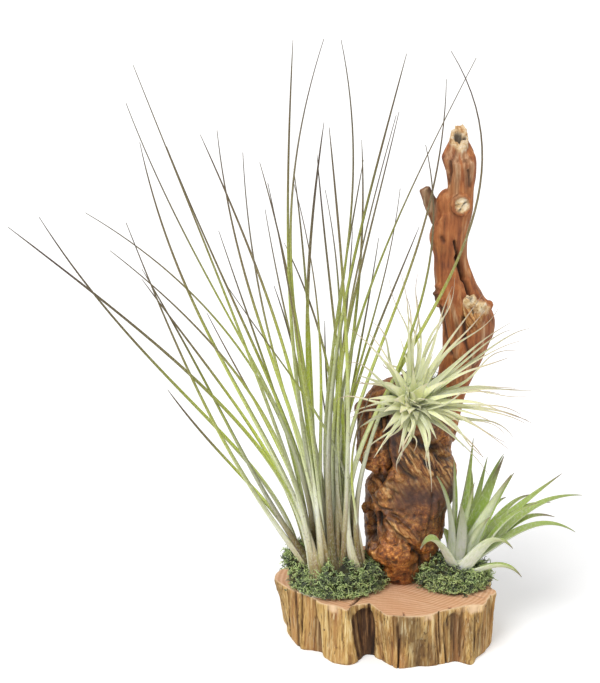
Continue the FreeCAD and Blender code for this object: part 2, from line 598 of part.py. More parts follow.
def make_right_leaves():
    """The broad leaves in two nodes, outer tiers first."""
    axis = right_axis()
    heart = right_heart()
    ring = RIGHT_BULB_RADIUS + RIGHT_LEAF_THICKNESS / 2
    leaves = []
    for place, (across, front, height, droop) in enumerate(RIGHT_TIP_SHARES):
        tip = right_seat() + vec(across, front, height) * RIGHT_REACH
        start = rosette_start(heart, axis, tip - heart, ring, ROSETTE_TIERS[place % 4])
        ends = arched_ends(start, tip, axis, RIGHT_RISE_SHARE, droop)
        side = unit((tip - start).cross(axis))
        leaves.append(make_leaf(ends, side, RIGHT_LEAF_WIDTH, RIGHT_LEAF_THICKNESS,
                                RIGHT_TAPER_SHARES))
    outer = leaves[:RIGHT_OUTER_COUNT]
    return Part.makeCompound(outer), Part.makeCompound(leaves[RIGHT_OUTER_COUNT:])


# Moss and glue
def make_mound(centre, half_width, half_depth, height, start_degrees):
    """A flat-bottomed clump of moss, round and uneven."""
    count = len(MOSS_OUTLINE_SHARES)
    wires = []
    for height_share, spread_share in MOSS_LEVEL_SHARES:
        points = []
        for k, radius_share in enumerate(MOSS_OUTLINE_SHARES):
            angle = 2 * math.pi * k / count + math.radians(start_degrees)
            reach = radius_share * spread_share
            points.append(centre + vec(half_width * reach * math.cos(angle),
                                       half_depth * reach * math.sin(angle), height * height_share))
        wires.append(closed_spline(points))
    return Part.makeLoft(wires, True, False)


def make_glue_pad(centre, half_width, half_depth):
    """A flat dab of glue on the slab under a plant's base."""
    pad = ellipsoid(centre, half_width, half_depth, GLUE_THICKNESS * 2)
    slice_box = Part.makeBox(half_width * 2, half_depth * 2, GLUE_THICKNESS,
                             centre - vec(half_width, half_depth, 0))
    return pad.common(slice_box)


os.makedirs("parts", exist_ok=True)

# What carries the rest
driftwood = make_driftwood()
save(make_slab(), "base_slab")
save(driftwood, "driftwood")
save(make_screws(), "foot_screws")

# Plant bases and their glue
rush_crowns = make_rush_crowns()
rush_pad_place = vec(RUSH_X, RUSH_Y, SLAB_THICKNESS)
glue_left = make_glue_pad(rush_pad_place, RUSH_CLUMP_HALF_WIDTH + RUSH_BULB_RADIUS + GLUE_MARGIN,
                          RUSH_CLUMP_HALF_DEPTH + RUSH_BULB_RADIUS + GLUE_MARGIN)
right_crown = make_bulb(right_seat(), UP, RIGHT_BULB_RADIUS, RIGHT_BULB_LENGTH)
right_pad_place = vec(RIGHT_X, RIGHT_Y, SLAB_THICKNESS)
glue_right = make_glue_pad(right_pad_place, RIGHT_BULB_RADIUS + GLUE_MARGIN,
                           RIGHT_BULB_RADIUS + GLUE_MARGIN)
top_crown = make_bulb(top_seat() + top_axis() * GLUE_THICKNESS, top_axis(), TOP_BULB_RADIUS,
                      TOP_BULB_LENGTH).cut(driftwood)
glue_top = ellipsoid(top_seat(), TOP_BULB_RADIUS, TOP_BULB_RADIUS, TOP_BULB_RADIUS)
glue_top = glue_top.cut([driftwood, top_crown])
save(rush_crowns, "rush_crowns")
save(right_crown, "right_crown")
save(top_crown, "top_crown")
save(glue_left, "glue_left")
save(glue_right, "glue_right")
save(glue_top, "glue_top")

# Leaves
rush_leaves = [make_rush_leaves(index) for index in range(len(RUSH_BULB_SHARES))]
top_lower, top_middle = make_top_tiers()
top_young = make_top_heart()
right_outer, right_inner = make_right_leaves()
for index, leaves in enumerate(rush_leaves):
    save(leaves, "rush_leaves_" + str(index + 1))
save(top_lower, "top_leaves_lower")
save(top_middle, "top_leaves_middle")
save(top_young, "top_leaves_heart")
save(right_outer, "right_leaves_outer")
save(right_inner, "right_leaves_inner")

# Moss, cut where wood, glue, plant bases and leaves pass through it
moss_left = make_mound(vec(MOSS_LEFT_X, MOSS_LEFT_Y, SLAB_THICKNESS), MOSS_LEFT_HALF_WIDTH,
                       MOSS_LEFT_HALF_DEPTH, MOSS_LEFT_HEIGHT, MOSS_LEFT_TURN_DEGREES)
moss_left = moss_left.cut(rush_crowns.Solids).cut([driftwood, glue_left]).cut(solids_of(rush_leaves))
moss_right = make_mound(vec(MOSS_RIGHT_X, MOSS_RIGHT_Y, SLAB_THICKNESS), MOSS_RIGHT_HALF_WIDTH,
                        MOSS_RIGHT_HALF_DEPTH, MOSS_RIGHT_HEIGHT, MOSS_RIGHT_TURN_DEGREES)
moss_right = moss_right.cut([driftwood, glue_right, right_crown] + solids_of([right_outer, right_inner]))
moss_top = ellipsoid(top_seat(), MOSS_TOP_HALF_WIDTH, MOSS_TOP_THICKNESS, MOSS_TOP_HALF_WIDTH)
moss_top = moss_top.cut([driftwood, glue_top, top_crown] + solids_of([top_lower, top_middle, top_young]))
save(moss_left, "moss_left")
save(moss_right, "moss_right")
save(moss_top, "moss_top")
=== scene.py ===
import itertools
import math

import bpy
import numpy as np
from mathutils.geometry import delaunay_2d_cdt
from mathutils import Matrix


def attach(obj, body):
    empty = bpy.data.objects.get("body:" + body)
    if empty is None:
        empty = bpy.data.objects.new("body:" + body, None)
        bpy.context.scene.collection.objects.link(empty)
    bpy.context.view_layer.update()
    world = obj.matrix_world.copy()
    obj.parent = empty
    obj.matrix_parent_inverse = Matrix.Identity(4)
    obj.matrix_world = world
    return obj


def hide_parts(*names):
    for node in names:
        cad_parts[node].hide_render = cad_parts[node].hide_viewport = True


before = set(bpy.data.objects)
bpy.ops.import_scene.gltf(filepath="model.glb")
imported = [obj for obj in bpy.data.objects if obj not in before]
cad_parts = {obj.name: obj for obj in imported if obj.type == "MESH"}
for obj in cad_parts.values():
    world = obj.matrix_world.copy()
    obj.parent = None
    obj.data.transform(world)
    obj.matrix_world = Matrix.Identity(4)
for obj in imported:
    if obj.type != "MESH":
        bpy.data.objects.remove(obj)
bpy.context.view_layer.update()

# Air plant holder: driftwood on a fluted slice of wood, moss, and three air plants. Shapes are
# worked out in millimetres in the part's frame and become metres when their mesh is made.
MM = 0.001

# Wood slice
SLAB_WIDTH = 162.0
SLAB_DEPTH = 120.0
SLAB_THICKNESS = 42.0
SCREW_PLACES = [(6.5, 3.0), (18.5, 3.0)]
SCREW_MOUTH_RADIUS = 4.85
SCREW_MOUTH_DEPTH = 2.6

# Driftwood
FOOT_X = 12.5
FOOT_Y = 3.0
BURL_WIDTH = 68.0
BURL_DEPTH = 56.0
BURL_HEIGHT = 154.0
LIMB_HEIGHT = 334.0
LIMB_OFFSET = 45.0
LIMB_SET_BACK = 5.0
LIMB_WIDTH = 35.2
LIMB_DEPTH = 31.0

# Rush-leaved plant
RUSH_X = -38.0
RUSH_Y = -16.0
RUSH_CLUMP_HALF_WIDTH = 17.0
RUSH_CLUMP_HALF_DEPTH = 9.0
RUSH_BULB_LENGTH = 26.0
RUSH_BULB_RADIUS = 5.0
RUSH_REACH = 230.0
RUSH_SPREAD = 100.0
RUSH_HEIGHT = 375.0
GLUE_THICKNESS = 2.5

# Fine-leaved plant on the shoulder
TOP_BULB_RADIUS = 9.0
TOP_BULB_LENGTH = 17.0
TOP_REACH = 80.0
TOP_AXIS = np.array([0.30, -0.72, 0.62])
TOP_SEAT_TURN = -82.0

# Broad-leaved plant
RIGHT_SEAT = np.array([52.0, -6.0, 44.5])
RIGHT_BULB_RADIUS = 9.5
RIGHT_BULB_LENGTH = 20.0
RIGHT_REACH = 100.0
RIGHT_AXIS = np.array([0.36, -0.22, 0.91])

GOLDEN_ANGLE = math.radians(137.508)
UP = np.array([0.0, 0.0, 1.0])

# Camera as solved from the photograph: focal length in millimetres, place in metres, tilt from
# straight down in degrees
CAMERA_LENS = 86.6
CAMERA_PLACE = (-0.061, -1.0997, 0.5602)
CAMERA_TILT = 73.0

# Each lamp's strength, the angle that its disc takes up in the sky, and its turn, in degrees
KEY_LIGHT = (2.2, 26.0, (40.0, 0.0, -34.0))
FILL_LIGHT = (0.4, 60.0, (62.0, 0.0, 58.0))
SKY_STRENGTH = 0.46
FLOOR_GLOW = 0.3
FLOOR_HALF_SIZE = 12.0

# Outline of the slab as shares of its half width and half depth: the sawn top, the underside
SLAB_TOP_SHARES = [
    (-0.99, 0.02), (-0.86, -0.25), (-0.77, -0.38), (-0.65, -0.50), (-0.57, -0.67), (-0.42, -0.77),
    (-0.35, -0.85), (-0.28, -0.72), (-0.15, -0.68), (-0.09, -0.80), (-0.01, -0.97), (0.10, -1.00),
    (0.23, -1.00), (0.35, -0.99), (0.47, -0.88), (0.63, -0.77), (0.74, -0.72), (0.86, -0.71),
    (0.93, -0.48), (1.00, -0.35), (0.94, -0.13), (0.99, 0.10), (0.91, 0.33), (0.82, 0.50),
    (0.74, 0.70), (0.57, 0.80), (0.44, 0.95), (0.25, 1.00), (0.07, 0.93), (-0.10, 1.00),
    (-0.27, 0.95), (-0.42, 0.82), (-0.58, 0.78), (-0.72, 0.63), (-0.79, 0.43), (-0.94, 0.27),
]
SLAB_UNDERSIDE_SHARES = [
    (-0.89, 0.13), (-0.84, -0.18), (-0.75, -0.47), (-0.63, -0.53), (-0.53, -0.72), (-0.46, -0.83),
    (-0.33, -0.88), (-0.21, -0.78), (-0.15, -0.68), (-0.06, -0.75), (0.04, -0.90), (0.10, -0.97),
    (0.23, -0.95), (0.37, -0.92), (0.52, -0.85), (0.65, -0.83), (0.75, -0.88), (0.81, -0.70),
    (0.90, -0.53), (0.96, -0.32), (0.91, -0.10), (0.94, 0.13), (0.89, 0.33), (0.84, 0.47),
    (0.72, 0.67), (0.58, 0.77), (0.42, 0.90), (0.25, 0.97), (0.10, 0.90), (-0.07, 0.97),
    (-0.27, 0.90), (-0.40, 0.80), (-0.56, 0.73), (-0.69, 0.60), (-0.77, 0.43), (-0.88, 0.30),
]

# What the slab carries, in millimetres from its middle (across, back). Features of the side are
# found by the nearest spot of the top rim. Splits: the shares of the height that they run
# between. Chips: their width. Rotted pockets under an arch of sound wood: width, depth and the
# arch's share of the height. Cracks of the sawn top: a path and a width.
SLAB_POINTS_AROUND = 720
SLAB_SIDE_ROWS = 44
SLAB_TOP_ROWS = 32
SLAB_TOP_MIDDLE = (4.0, 4.0)
SCREW_HOLE_SIDES = 32
SMALL_SPLIT_COUNT = 80
SLAB_SPLITS = [(35, -53, 0.2, 1.2), (39, -51, -0.2, 0.75), (71, -27, 0.1, 1.2), (8, -62, -0.2, 0.6),
               (-62, -24, 0.3, 1.2)]
SLAB_SPLIT_WIDTH = 0.75
SLAB_SPLIT_DEPTH = 3.2
SLAB_CHIPS = [(63, -36, 7.0), (28, -56, 3.5), (-38, -44, 4.0)]
SLAB_POCKETS = [
    (-15.5, -42, 8.0, 4.2, 0.93), (47, -47, 6.5, 2.2, 0.95), (-50, -34, 3.0, 2.6, 0.75),
    (22, -60, 5.0, 1.2, 0.6), (-74, 0, 6.0, 1.8, 0.8), (30, 55, 9.0, 3.0, 0.9),
    (-48, 47, 6.0, 2.4, 0.85), (72, 22, 6.0, 2.2, 0.9),
]
SLAB_TOP_CRACKS = [
    ([(-25, -42.5), (-21, -36), (-19, -31)], 0.9), ([(43, -54), (45, -46)], 0.8),
    ([(12, -61), (11.5, -54)], 0.5), ([(70, -30), (63, -26)], 0.6),
    ([(66, 28), (50, 20), (40, 14)], 0.9), ([(-30, 58), (-22, 42), (-18, 34)], 0.9),
    ([(-62, -22), (-55, -18)], 0.6), ([(28, 58), (25, 49)], 0.7),
]

# Burl: height, middle, half width, half depth. Limb: height, offset, set back, and the share of
# both its half width and its half depth.
BURL_SHARES = [
    (0.00, 0.00, 0.37, 0.46), (0.035, -0.02, 0.46, 0.55), (0.11, -0.02, 0.70, 0.74),
    (0.19, 0.03, 0.78, 0.84), (0.29, 0.05, 0.87, 0.92), (0.37, 0.11, 0.91, 0.96),
    (0.44, 0.20, 0.95, 1.00), (0.54, 0.14, 0.94, 0.97), (0.64, 0.03, 0.96, 0.97),
    (0.74, 0.02, 0.98, 1.00), (0.84, 0.08, 1.00, 0.98), (0.90, 0.14, 0.95, 0.88),
    (0.955, 0.15, 0.78, 0.70), (0.99, 0.13, 0.48, 0.44), (1.00, 0.13, 0.20, 0.20),
]
LIMB_SHARES = [
    (0.32, 0.62, 0.40, 0.50), (0.38, 0.68, 0.60, 0.57), (0.435, 0.77, 0.80, 0.62),
    (0.485, 0.88, 0.90, 0.77), (0.53, 0.98, 1.00, 0.88), (0.575, 1.00, 1.10, 1.00),
    (0.617, 0.91, 1.20, 0.96), (0.665, 0.77, 1.25, 0.79), (0.72, 0.68, 1.20, 0.64),
    (0.77, 0.67, 1.05, 0.69), (0.83, 0.80, 0.95, 0.54), (0.875, 0.82, 0.90, 0.50),
    (0.935, 0.80, 1.00, 0.65), (0.98, 0.78, 1.05, 0.55), (1.00, 0.78, 1.05, 0.53),
]

# Bulbs of the rush plant, then each bulb's leaves: reach, spread and height of the tip, and the
# lean at base and tip in degrees.
RUSH_BULB_SHARES = [
    (-1.00, 0.35), (-0.62, -0.75), (-0.28, 0.60), (0.12, -0.60), (0.52, 0.85), (1.00, -0.25),
]
RUSH_LEAF_SHARES = [
    [(-0.87, 0.07, 0.68, -10, -30), (-0.59, -0.43, 0.70, -34, -18), (-0.56, -0.18, 0.60, -33, -28),
     (-0.61, 0.22, 0.88, 0, -20), (-0.40, 0.85, 0.44, -10, -30), (-0.60, 0.70, 0.52, -12, -38),
     (-0.52, 0.52, 0.31, -26, -38)],
    [(-0.94, -0.23, 0.68, -4, -50), (-0.63, -0.58, 0.66, -6, -48), (-0.59, 0.62, 0.79, -12, -12),
     (-0.39, 0.07, 0.83, -4, -24), (-0.26, -0.38, 0.82, -8, -2), (-0.12, -0.18, 0.76, -4, -15),
     (-0.18, 0.37, 0.53, -4, -20), (-0.36, 0.95, 0.60, -6, -20)],
    [(-0.75, 0.37, 0.67, -6, -60), (-0.57, -0.13, 0.96, -15, -20), (-0.51, 0.67, 0.78, -8, -22),
     (-0.35, 0.47, 0.82, -7, -6), (-0.22, 0.27, 0.77, -10, -16), (-0.21, 0.82, 0.65, -6, -10),
     (-0.03, 0.37, 0.99, -6, 18), (-0.03, 0.12, 0.85, -6, 8), (-0.12, 1.00, 0.72, -4, -8)],
    [(-0.19, -0.43, 0.77, -6, -11), (-0.12, -0.03, 1.00, -12, 3), (0.20, -0.13, 0.98, -6, 14),
     (0.09, 0.72, 0.79, -3, -3), (-0.02, -0.53, 0.87, 3, -6), (-0.05, 0.17, 0.79, 3, -5),
     (-0.15, 0.87, 0.58, 0, -28), (0.28, 0.92, 0.61, -4, 24), (0.07, 1.05, 0.60, 0, 4)],
    [(0.02, 0.32, 0.99, -12, -12), (0.20, 0.57, 0.85, -8, 13), (0.32, 0.03, 0.93, -10, 0),
     (0.20, 0.30, 0.72, -16, 6), (-0.32, -0.45, 0.60, 5, -30), (-0.02, 0.97, 0.68, -8, -12),
     (0.10, 0.95, 0.74, -12, 10), (0.14, 0.40, 0.62, -2, 8)],
    [(0.17, -0.28, 0.88, -8, 14), (0.40, -0.05, 0.97, -14, 26), (0.33, 0.01, 0.98, -20, -33),
     (0.26, -0.10, 0.82, -12, -14), (0.11, -0.33, 0.38, -8, 22), (-0.03, 0.72, 0.30, -6, -6),
     (0.05, 1.00, 0.55, -10, 8), (-0.02, 0.90, 0.42, -8, 0)],
]

# Tips of the top plant and of the right plant as shares of their reach: across, back and up.
# The last share of the right one is its droop.
TOP_TIP_SHARES = [
    (-0.48, 0.06, 0.55), (-0.62, -0.12, 0.56), (-0.68, -0.25, 0.29), (-0.59, -0.06, 0.10),
    (-0.74, -0.38, -0.01), (-0.65, -0.44, -0.13), (-0.49, -0.46, -0.47), (-0.27, -0.44, -0.51),
    (-0.19, -0.46, -0.58), (-0.16, -0.56, -0.39), (0.05, -0.41, -0.78), (0.08, -0.51, -0.61),
    (0.54, -0.44, -0.63), (0.51, -0.56, -0.38), (0.71, -0.38, -0.40), (0.76, -0.19, -0.42),
    (0.63, -0.50, -0.25), (0.82, -0.25, -0.22), (0.95, -0.06, -0.30), (0.90, -0.44, -0.11),
    (0.49, -0.75, 0.16), (0.86, -0.12, 0.02), (0.91, -0.38, 0.15), (0.84, 0.12, -0.01),
    (0.86, 0.06, 0.27), (0.73, -0.31, 0.50), (0.89, 0.19, 0.45), (0.74, -0.06, 0.63),
    (0.61, 0.25, 0.70), (0.46, -0.25, 0.95), (0.20, -0.44, 1.04), (0.20, 0.06, 1.04),
    (-0.01, 0.25, 0.94), (-0.23, 0.00, 1.05), (-0.26, 0.31, 0.94), (-0.08, 0.56, 0.64),
    (-0.29, 0.31, 0.13),
]
RIGHT_TIP_SHARES = [
    (0.44, -0.30, 0.16, 0.9), (0.34, -0.50, 0.47, 0.7), (-0.29, -0.40, 0.42, 1.3),
    (-0.03, -0.50, 0.80, 0.3), (0.33, -0.35, 0.96, 0.1), (0.32, 0.00, 0.96, 0.0),
    (0.38, -0.12, 0.88, 0.1), (0.83, -0.15, 0.44, 0.7), (0.72, 0.10, 0.45, 0.6),
    (0.71, 0.25, 0.50, 0.5), (0.92, 0.15, 0.60, 0.4), (0.80, 0.35, 0.69, 0.0),
    (0.11, 0.10, 1.06, 0.0), (-0.05, -0.16, 1.00, 0.0), (-0.19, -0.40, 0.97, 0.2),
    (0.10, -0.15, 0.82, 0.0), (0.41, 0.45, 0.46, 0.5), (0.63, 0.50, 0.46, 0.5),
    (-0.10, 0.34, 0.26, 0.6), (0.16, 0.66, 0.62, 0.5), (0.40, 0.62, 0.74, 0.3),
    (0.56, -0.22, 0.70, 0.3), (0.20, -0.30, 0.62, 0.2), (0.24, 0.30, 0.84, 0.1),
]
RIGHT_OUTER_COUNT = 12

# Angles from a rosette's axis at which its leaves leave the heart, taken in turn
ROSETTE_TIERS = np.radians([98.0, 78.0, 58.0, 40.0])

# A clump of moss: height and spread of its levels, and the outline's radius at even steps round
MOSS_LEVEL_SHARES = [(0.0, 0.93), (0.28, 1.00), (0.62, 0.90), (0.88, 0.66), (1.0, 0.34), (1.02, 0.0)]
MOSS_OUTLINE_SHARES = [0.98, 0.88, 0.97, 0.86, 1.00, 0.90, 0.98, 0.85, 0.93, 1.00, 0.87, 0.95]


# Camera, light and floor
def add_object(name, data):
    made = bpy.data.objects.new(name, data)
    bpy.context.scene.collection.objects.link(made)
    return made


def place_camera():
    """The photograph's view: from the front, looking down at seventeen degrees."""
    camera = add_object("camera", bpy.data.cameras.new("camera"))
    camera.data.lens = CAMERA_LENS
    camera.location = CAMERA_PLACE
    camera.rotation_euler = (math.radians(CAMERA_TILT), 0.0, 0.0)
    bpy.context.scene.camera = camera


place_camera()


# Colour and nodes
def linear(hex_colour):
    """A colour written in sRGB hex as the linear values that Blender mixes."""
    srgb = np.array([int(hex_colour[i:i + 2], 16) for i in (1, 3, 5)]) / 255
    parts = np.where(srgb <= 0.04045, srgb / 12.92, ((srgb + 0.055) / 1.055) ** 2.4)
    return tuple(parts.tolist()) + (1.0,)


def put(tree, kind, links=None, ramp=None, **settings):
    """Add one node: its settings, then each input by name or number, linked or set."""
    made = tree.nodes.new("ShaderNode" + kind)
    for name, value in settings.items():
        setattr(made, name, value)
    for key, value in (links or {}).items():
        if isinstance(value, bpy.types.NodeSocket):
            tree.links.new(value, made.inputs[key])
        else:
            made.inputs[key].default_value = value
    if ramp:
        stops = made.color_ramp.elements
        while len(stops) < len(ramp):
            stops.new(1.0)
        for stop, (place, tint) in zip(stops, ramp):
            stop.position = place
            stop.color = linear(tint) if isinstance(tint, str) else (tint, tint, tint, 1.0)
    return made


def empty_tree(block):
    """The node tree of a material or world, with nothing in it."""
    block.use_nodes = True
    block.node_tree.nodes.clear()
    return block.node_tree


def new_material(name):
    """A material with one empty Principled surface."""
    material = bpy.data.materials.new(name)
    tree = empty_tree(material)
    surface = put(tree, "BsdfPrincipled")
    put(tree, "OutputMaterial", {"Surface": surface.outputs[0]})
    return material, tree, surface


def shade(tree, value, stops):
    """A value read through stops, each a place from 0 to 1 and a colour or a grey."""
    return put(tree, "ValToRGB", {"Fac": value}, ramp=stops).outputs[0]


def mix(tree, share, first, second, blend="MIX"):
    """The colour between two others, by a share that is a socket or a number."""
    made = put(tree, "Mix", {0: share, 6: first, 7: second}, data_type="RGBA", blend_type=blend)
    return made.outputs[2]


def stain(tree, colour, value, stops, tint):
    """A colour tinted where a value, read through stops, is above nothing."""
    return mix(tree, shade(tree, value, stops), colour, linear(tint))


def noise(tree, place, scale, detail=4.0, roughness=0.55, warp=0.0):
    """Noise from 0 to 1 on a place, with scale in lumps for each metre."""
    made = put(tree, "TexNoise", {"Vector": place, "Scale": scale, "Detail": detail,
                                  "Roughness": roughness, "Distortion": warp})
    return made.outputs["Fac"]


def stretched(tree, scales=(1.0, 1.0, 1.0), turn=(0.0, 0.0, 0.0)):
    """Object coordinates turned, then scaled apart along each axis, so that a pattern runs
    lengthwise."""
    place = put(tree, "TexCoord").outputs["Object"]
    place = put(tree, "Mapping", {"Vector": place, "Rotation": turn}).outputs[0]
    return put(tree, "Mapping", {"Vector": place, "Scale": scales}).outputs[0]


def mask(tree, name):
    """One of the piece's own point values."""
    return put(tree, "Attribute", attribute_name=name, attribute_type="GEOMETRY").outputs["Fac"]


def cover(tree, colour, name, value, stops):
    """A colour covered, where the piece's point value says so, by another value read through
    stops."""
    return mix(tree, mask(tree, name), colour, shade(tree, value, stops))


def maths(tree, operation, first, second=0.0, clamp=False):
    made = put(tree, "Math", {0: first, 1: second}, operation=operation, use_clamp=clamp)
    return made.outputs[0]


def times(tree, first, second):
    return maths(tree, "MULTIPLY", first, second)


def dress(tree, surface, colour, **settings):
    """Give a surface its colour and its other inputs, named with _ for a space."""
    tree.links.new(colour, surface.inputs["Base Color"])
    for name, value in settings.items():
        surface.inputs[name.replace("_", " ")].default_value = value


def relief(tree, surface, height, strength, distance):
    """Fine relief on a surface; distance is its depth in metres."""
    bump = put(tree, "Bump", {"Height": height, "Strength": strength, "Distance": distance})
    tree.links.new(bump.outputs[0], surface.inputs["Normal"])


def add_light(name, strength, angle, turn):
    lamp = bpy.data.lights.new(name, "SUN")
    lamp.energy = strength
    lamp.angle = math.radians(angle)
    add_object(name, lamp).rotation_euler = [math.radians(degrees) for degrees in turn]


def seen_white(tree):
    """One for rays that carry what the camera sees, also mirrored or through clear glue, and
    nothing for those that light the wood and leaves."""
    ray = put(tree, "LightPath").outputs
    white = maths(tree, "MAXIMUM", ray["Is Camera Ray"], ray["Is Glossy Ray"])
    return maths(tree, "MAXIMUM", white, ray["Is Transmission Ray"])


def make_studio():
    """Soft key light from the front left, a weak fill, and a white floor that keeps the shadow."""
    bpy.context.scene.view_settings.view_transform = "Standard"
    add_light("key", *KEY_LIGHT)
    add_light("fill", *FILL_LIGHT)
    world = bpy.data.worlds.new("studio")
    bpy.context.scene.world = world
    tree = empty_tree(world)
    strength = put(tree, "MapRange", {"Value": seen_white(tree), "To Min": SKY_STRENGTH})
    sky = put(tree, "Background", {"Color": linear("#FFFFFF"), "Strength": strength.outputs[0]})
    put(tree, "OutputWorld", {"Surface": sky.outputs[0]})

    mesh = bpy.data.meshes.new("floor")
    signs = [(-1, -1), (1, -1), (1, 1), (-1, 1)]
    corners = [(FLOOR_HALF_SIZE * x, FLOOR_HALF_SIZE * y, 0) for x, y in signs]
    mesh.from_pydata(corners, [], [(0, 1, 2, 3)])
    floor = add_object("floor", mesh)
    material = bpy.data.materials.new("white paper floor")
    tree = empty_tree(material)
    glow = put(tree, "Emission", {"Color": linear("#FFFFFF"),
                                  "Strength": times(tree, seen_white(tree), FLOOR_GLOW)})
    paper = put(tree, "BsdfDiffuse", {"Color": linear("#EDEDED")})
    both = put(tree, "AddShader", {0: glow.outputs[0], 1: paper.outputs[0]})
    put(tree, "OutputMaterial", {"Surface": both.outputs[0]})
    mesh.materials.append(material)


make_studio()


# Mesh helpers
def give_masks(mesh, masks):
    """Values of the mesh's points that its material reads by name."""
    for name, values in masks.items():
        layer = mesh.attributes.new(name, "FLOAT", "POINT")
        layer.data.foreach_set("value", np.asarray(values, np.float32).ravel())


def make_piece(name, points, faces, material, masks):
    """A smooth-shaded piece from points in millimetres, riding on the one body."""
    mesh = bpy.data.meshes.new(name)
    mesh.from_pydata((np.asarray(points, float) * MM).tolist(), [], faces)
    mesh.polygons.foreach_set("use_smooth", np.ones(len(mesh.polygons), bool))
    give_masks(mesh, masks)
    mesh.materials.append(material)
    mesh.update()
    piece = add_object(name, mesh)
    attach(piece, "root")
    return piece


def circle(count):
    """Angles at even steps round a circle."""
    return np.linspace(0, 2 * math.pi, count, endpoint=False)


def fan(first, second, pole):
    """Triangles from pairs of points to one pole."""
    return np.stack([first, second, np.full(len(first), pole)], -1).tolist()


def tube_faces(rows, around, first=0, poles=None):
    """Quads of a grid that closes round itself, and fans from its ends to two poles."""
    row, step = np.meshgrid(np.arange(rows - 1) * around, np.arange(around), indexing="ij")
    after = (step + 1) % around
    quads = np.stack([row + step, row + after, row + around + after, row + around + step], -1)
    faces = (quads.reshape(-1, 4) + first).tolist()
    if poles is not None:
        near = first + np.arange(around)
        after = first + (np.arange(around) + 1) % around
        last = (rows - 1) * around
        faces += fan(after, near, poles) + fan(last + near, last + after, poles + 1)
    return faces


def closed_tube(grid):
    """Points and faces of a grid (rows, around, 3) closed at both ends by a pole."""
    rows, around = grid.shape[:2]
    ends = np.stack([grid[0].mean(0), grid[-1].mean(0)])
    return np.concatenate([grid.reshape(-1, 3), ends]), tube_faces(rows, around, 0, rows * around)


def between_rows(t, a, b, c, d):
    """The cubic from b to c at t, whose slopes are half the steps from a to c and from b to d."""
    return 0.5 * (2 * b + (c - a) * t + (2 * a - 5 * b + 4 * c - d) * t ** 2
                  + (3 * b - a - 3 * c + d) * t ** 3)


def repeated(faces, size, parts):
    """The faces of one part for each of several parts of size points that follow each other."""
    return [[i + part * size for i in face] for part in range(parts) for face in faces]


def through(table, places):
    """A curve through the rows of a table, read at places counted in rows. Its slope at a row is
    half the step between that row's neighbours."""
    table = np.asarray(table, float)
    before = 2 * table[:1] - table[1:2]
    after = 2 * table[-1:] - table[-2:-1]
    held = np.concatenate([before, table, after])
    i = np.clip(np.floor(places).astype(int), 0, len(table) - 2)
    return between_rows((np.asarray(places) - i)[:, None], *(held[i + k] for k in range(4)))


def through_round(table, count):
    """The same curve closed on itself, read at count even places."""
    table = np.asarray(table, float)
    places = np.arange(count) * len(table) / count
    i = np.floor(places).astype(int)
    return between_rows((places - i)[:, None], *(table[(i + k) % len(table)] for k in (-1, 0, 1, 2)))


def lattice(points, seed):
    """Noise from 0 to 1: a hashed number at each corner of the unit lattice, blended between
    corners by the cubic step 3 t squared less 2 t cubed."""
    cell = np.floor(points).astype(np.int64)
    part = points - cell
    part = part * part * (3 - 2 * part)
    total = np.zeros(len(points))
    for corner in itertools.product((0, 1), repeat=3):
        x, y, z = (cell + corner).T
        code = (x * 73856093) ^ (y * 19349663) ^ (z * 83492791) ^ (seed * 40503 + 977)
        code = (code ^ (code >> 13)) * 1274126177
        code = (code ^ (code >> 16)) & 65535
        total += np.prod(np.where(corner, part, 1 - part), axis=1) * code / 65535
    return total


def rough(points, size, seed, octaves=3):
    """Layered noise from -1 to 1 with lumps of about size, each layer half as large and strong."""
    size = np.broadcast_to(np.asarray(size, float), (3,))
    total = np.zeros(len(points))
    weight = 0.0
    for octave in range(octaves):
        share = 0.5 ** octave
        total += share * (2 * lattice(points / (size * share), seed + octave) - 1)
        weight += share
    return total / weight


def smooth_step(values, low, high):
    """Nothing below low, one above high, and 3 t squared less 2 t cubed between them."""
    t = np.clip((values - low) / (high - low), 0, 1)
    return t * t * (3 - 2 * t)


def between(values, foot, head):
    """One from foot to head, fading to nothing over a tenth on either side of each."""
    return (smooth_step(values, foot - 0.1, foot + 0.1)
            * (1 - smooth_step(values, head - 0.1, head + 0.1)))


def shorter_way(apart, length):
    """How far apart two places of a closed line are, the shorter way round."""
    return np.abs((apart + length / 2) % length - length / 2)


def bell(distance, width):
    """exp(-r squared), r being the distance in widths."""
    return np.exp(-(distance / width) ** 2)


def seen_distance(points, path):
    """How far points are from a broken line, both seen from the front: across and up."""
    flat = points[:, [0, 2]]
    nearest = np.full(len(points), 1e9)
    for start, end in zip(path[:-1], path[1:]):
        start, end = np.array(start, float), np.array(end, float)
        along = end - start
        share = np.clip((flat - start) @ along / (along @ along), 0, 1)
        nearest = np.minimum(nearest, np.linalg.norm(flat - start - share[:, None] * along, axis=1))
    return nearest


def unit(vectors):
    return vectors / np.linalg.norm(vectors, axis=-1, keepdims=True)


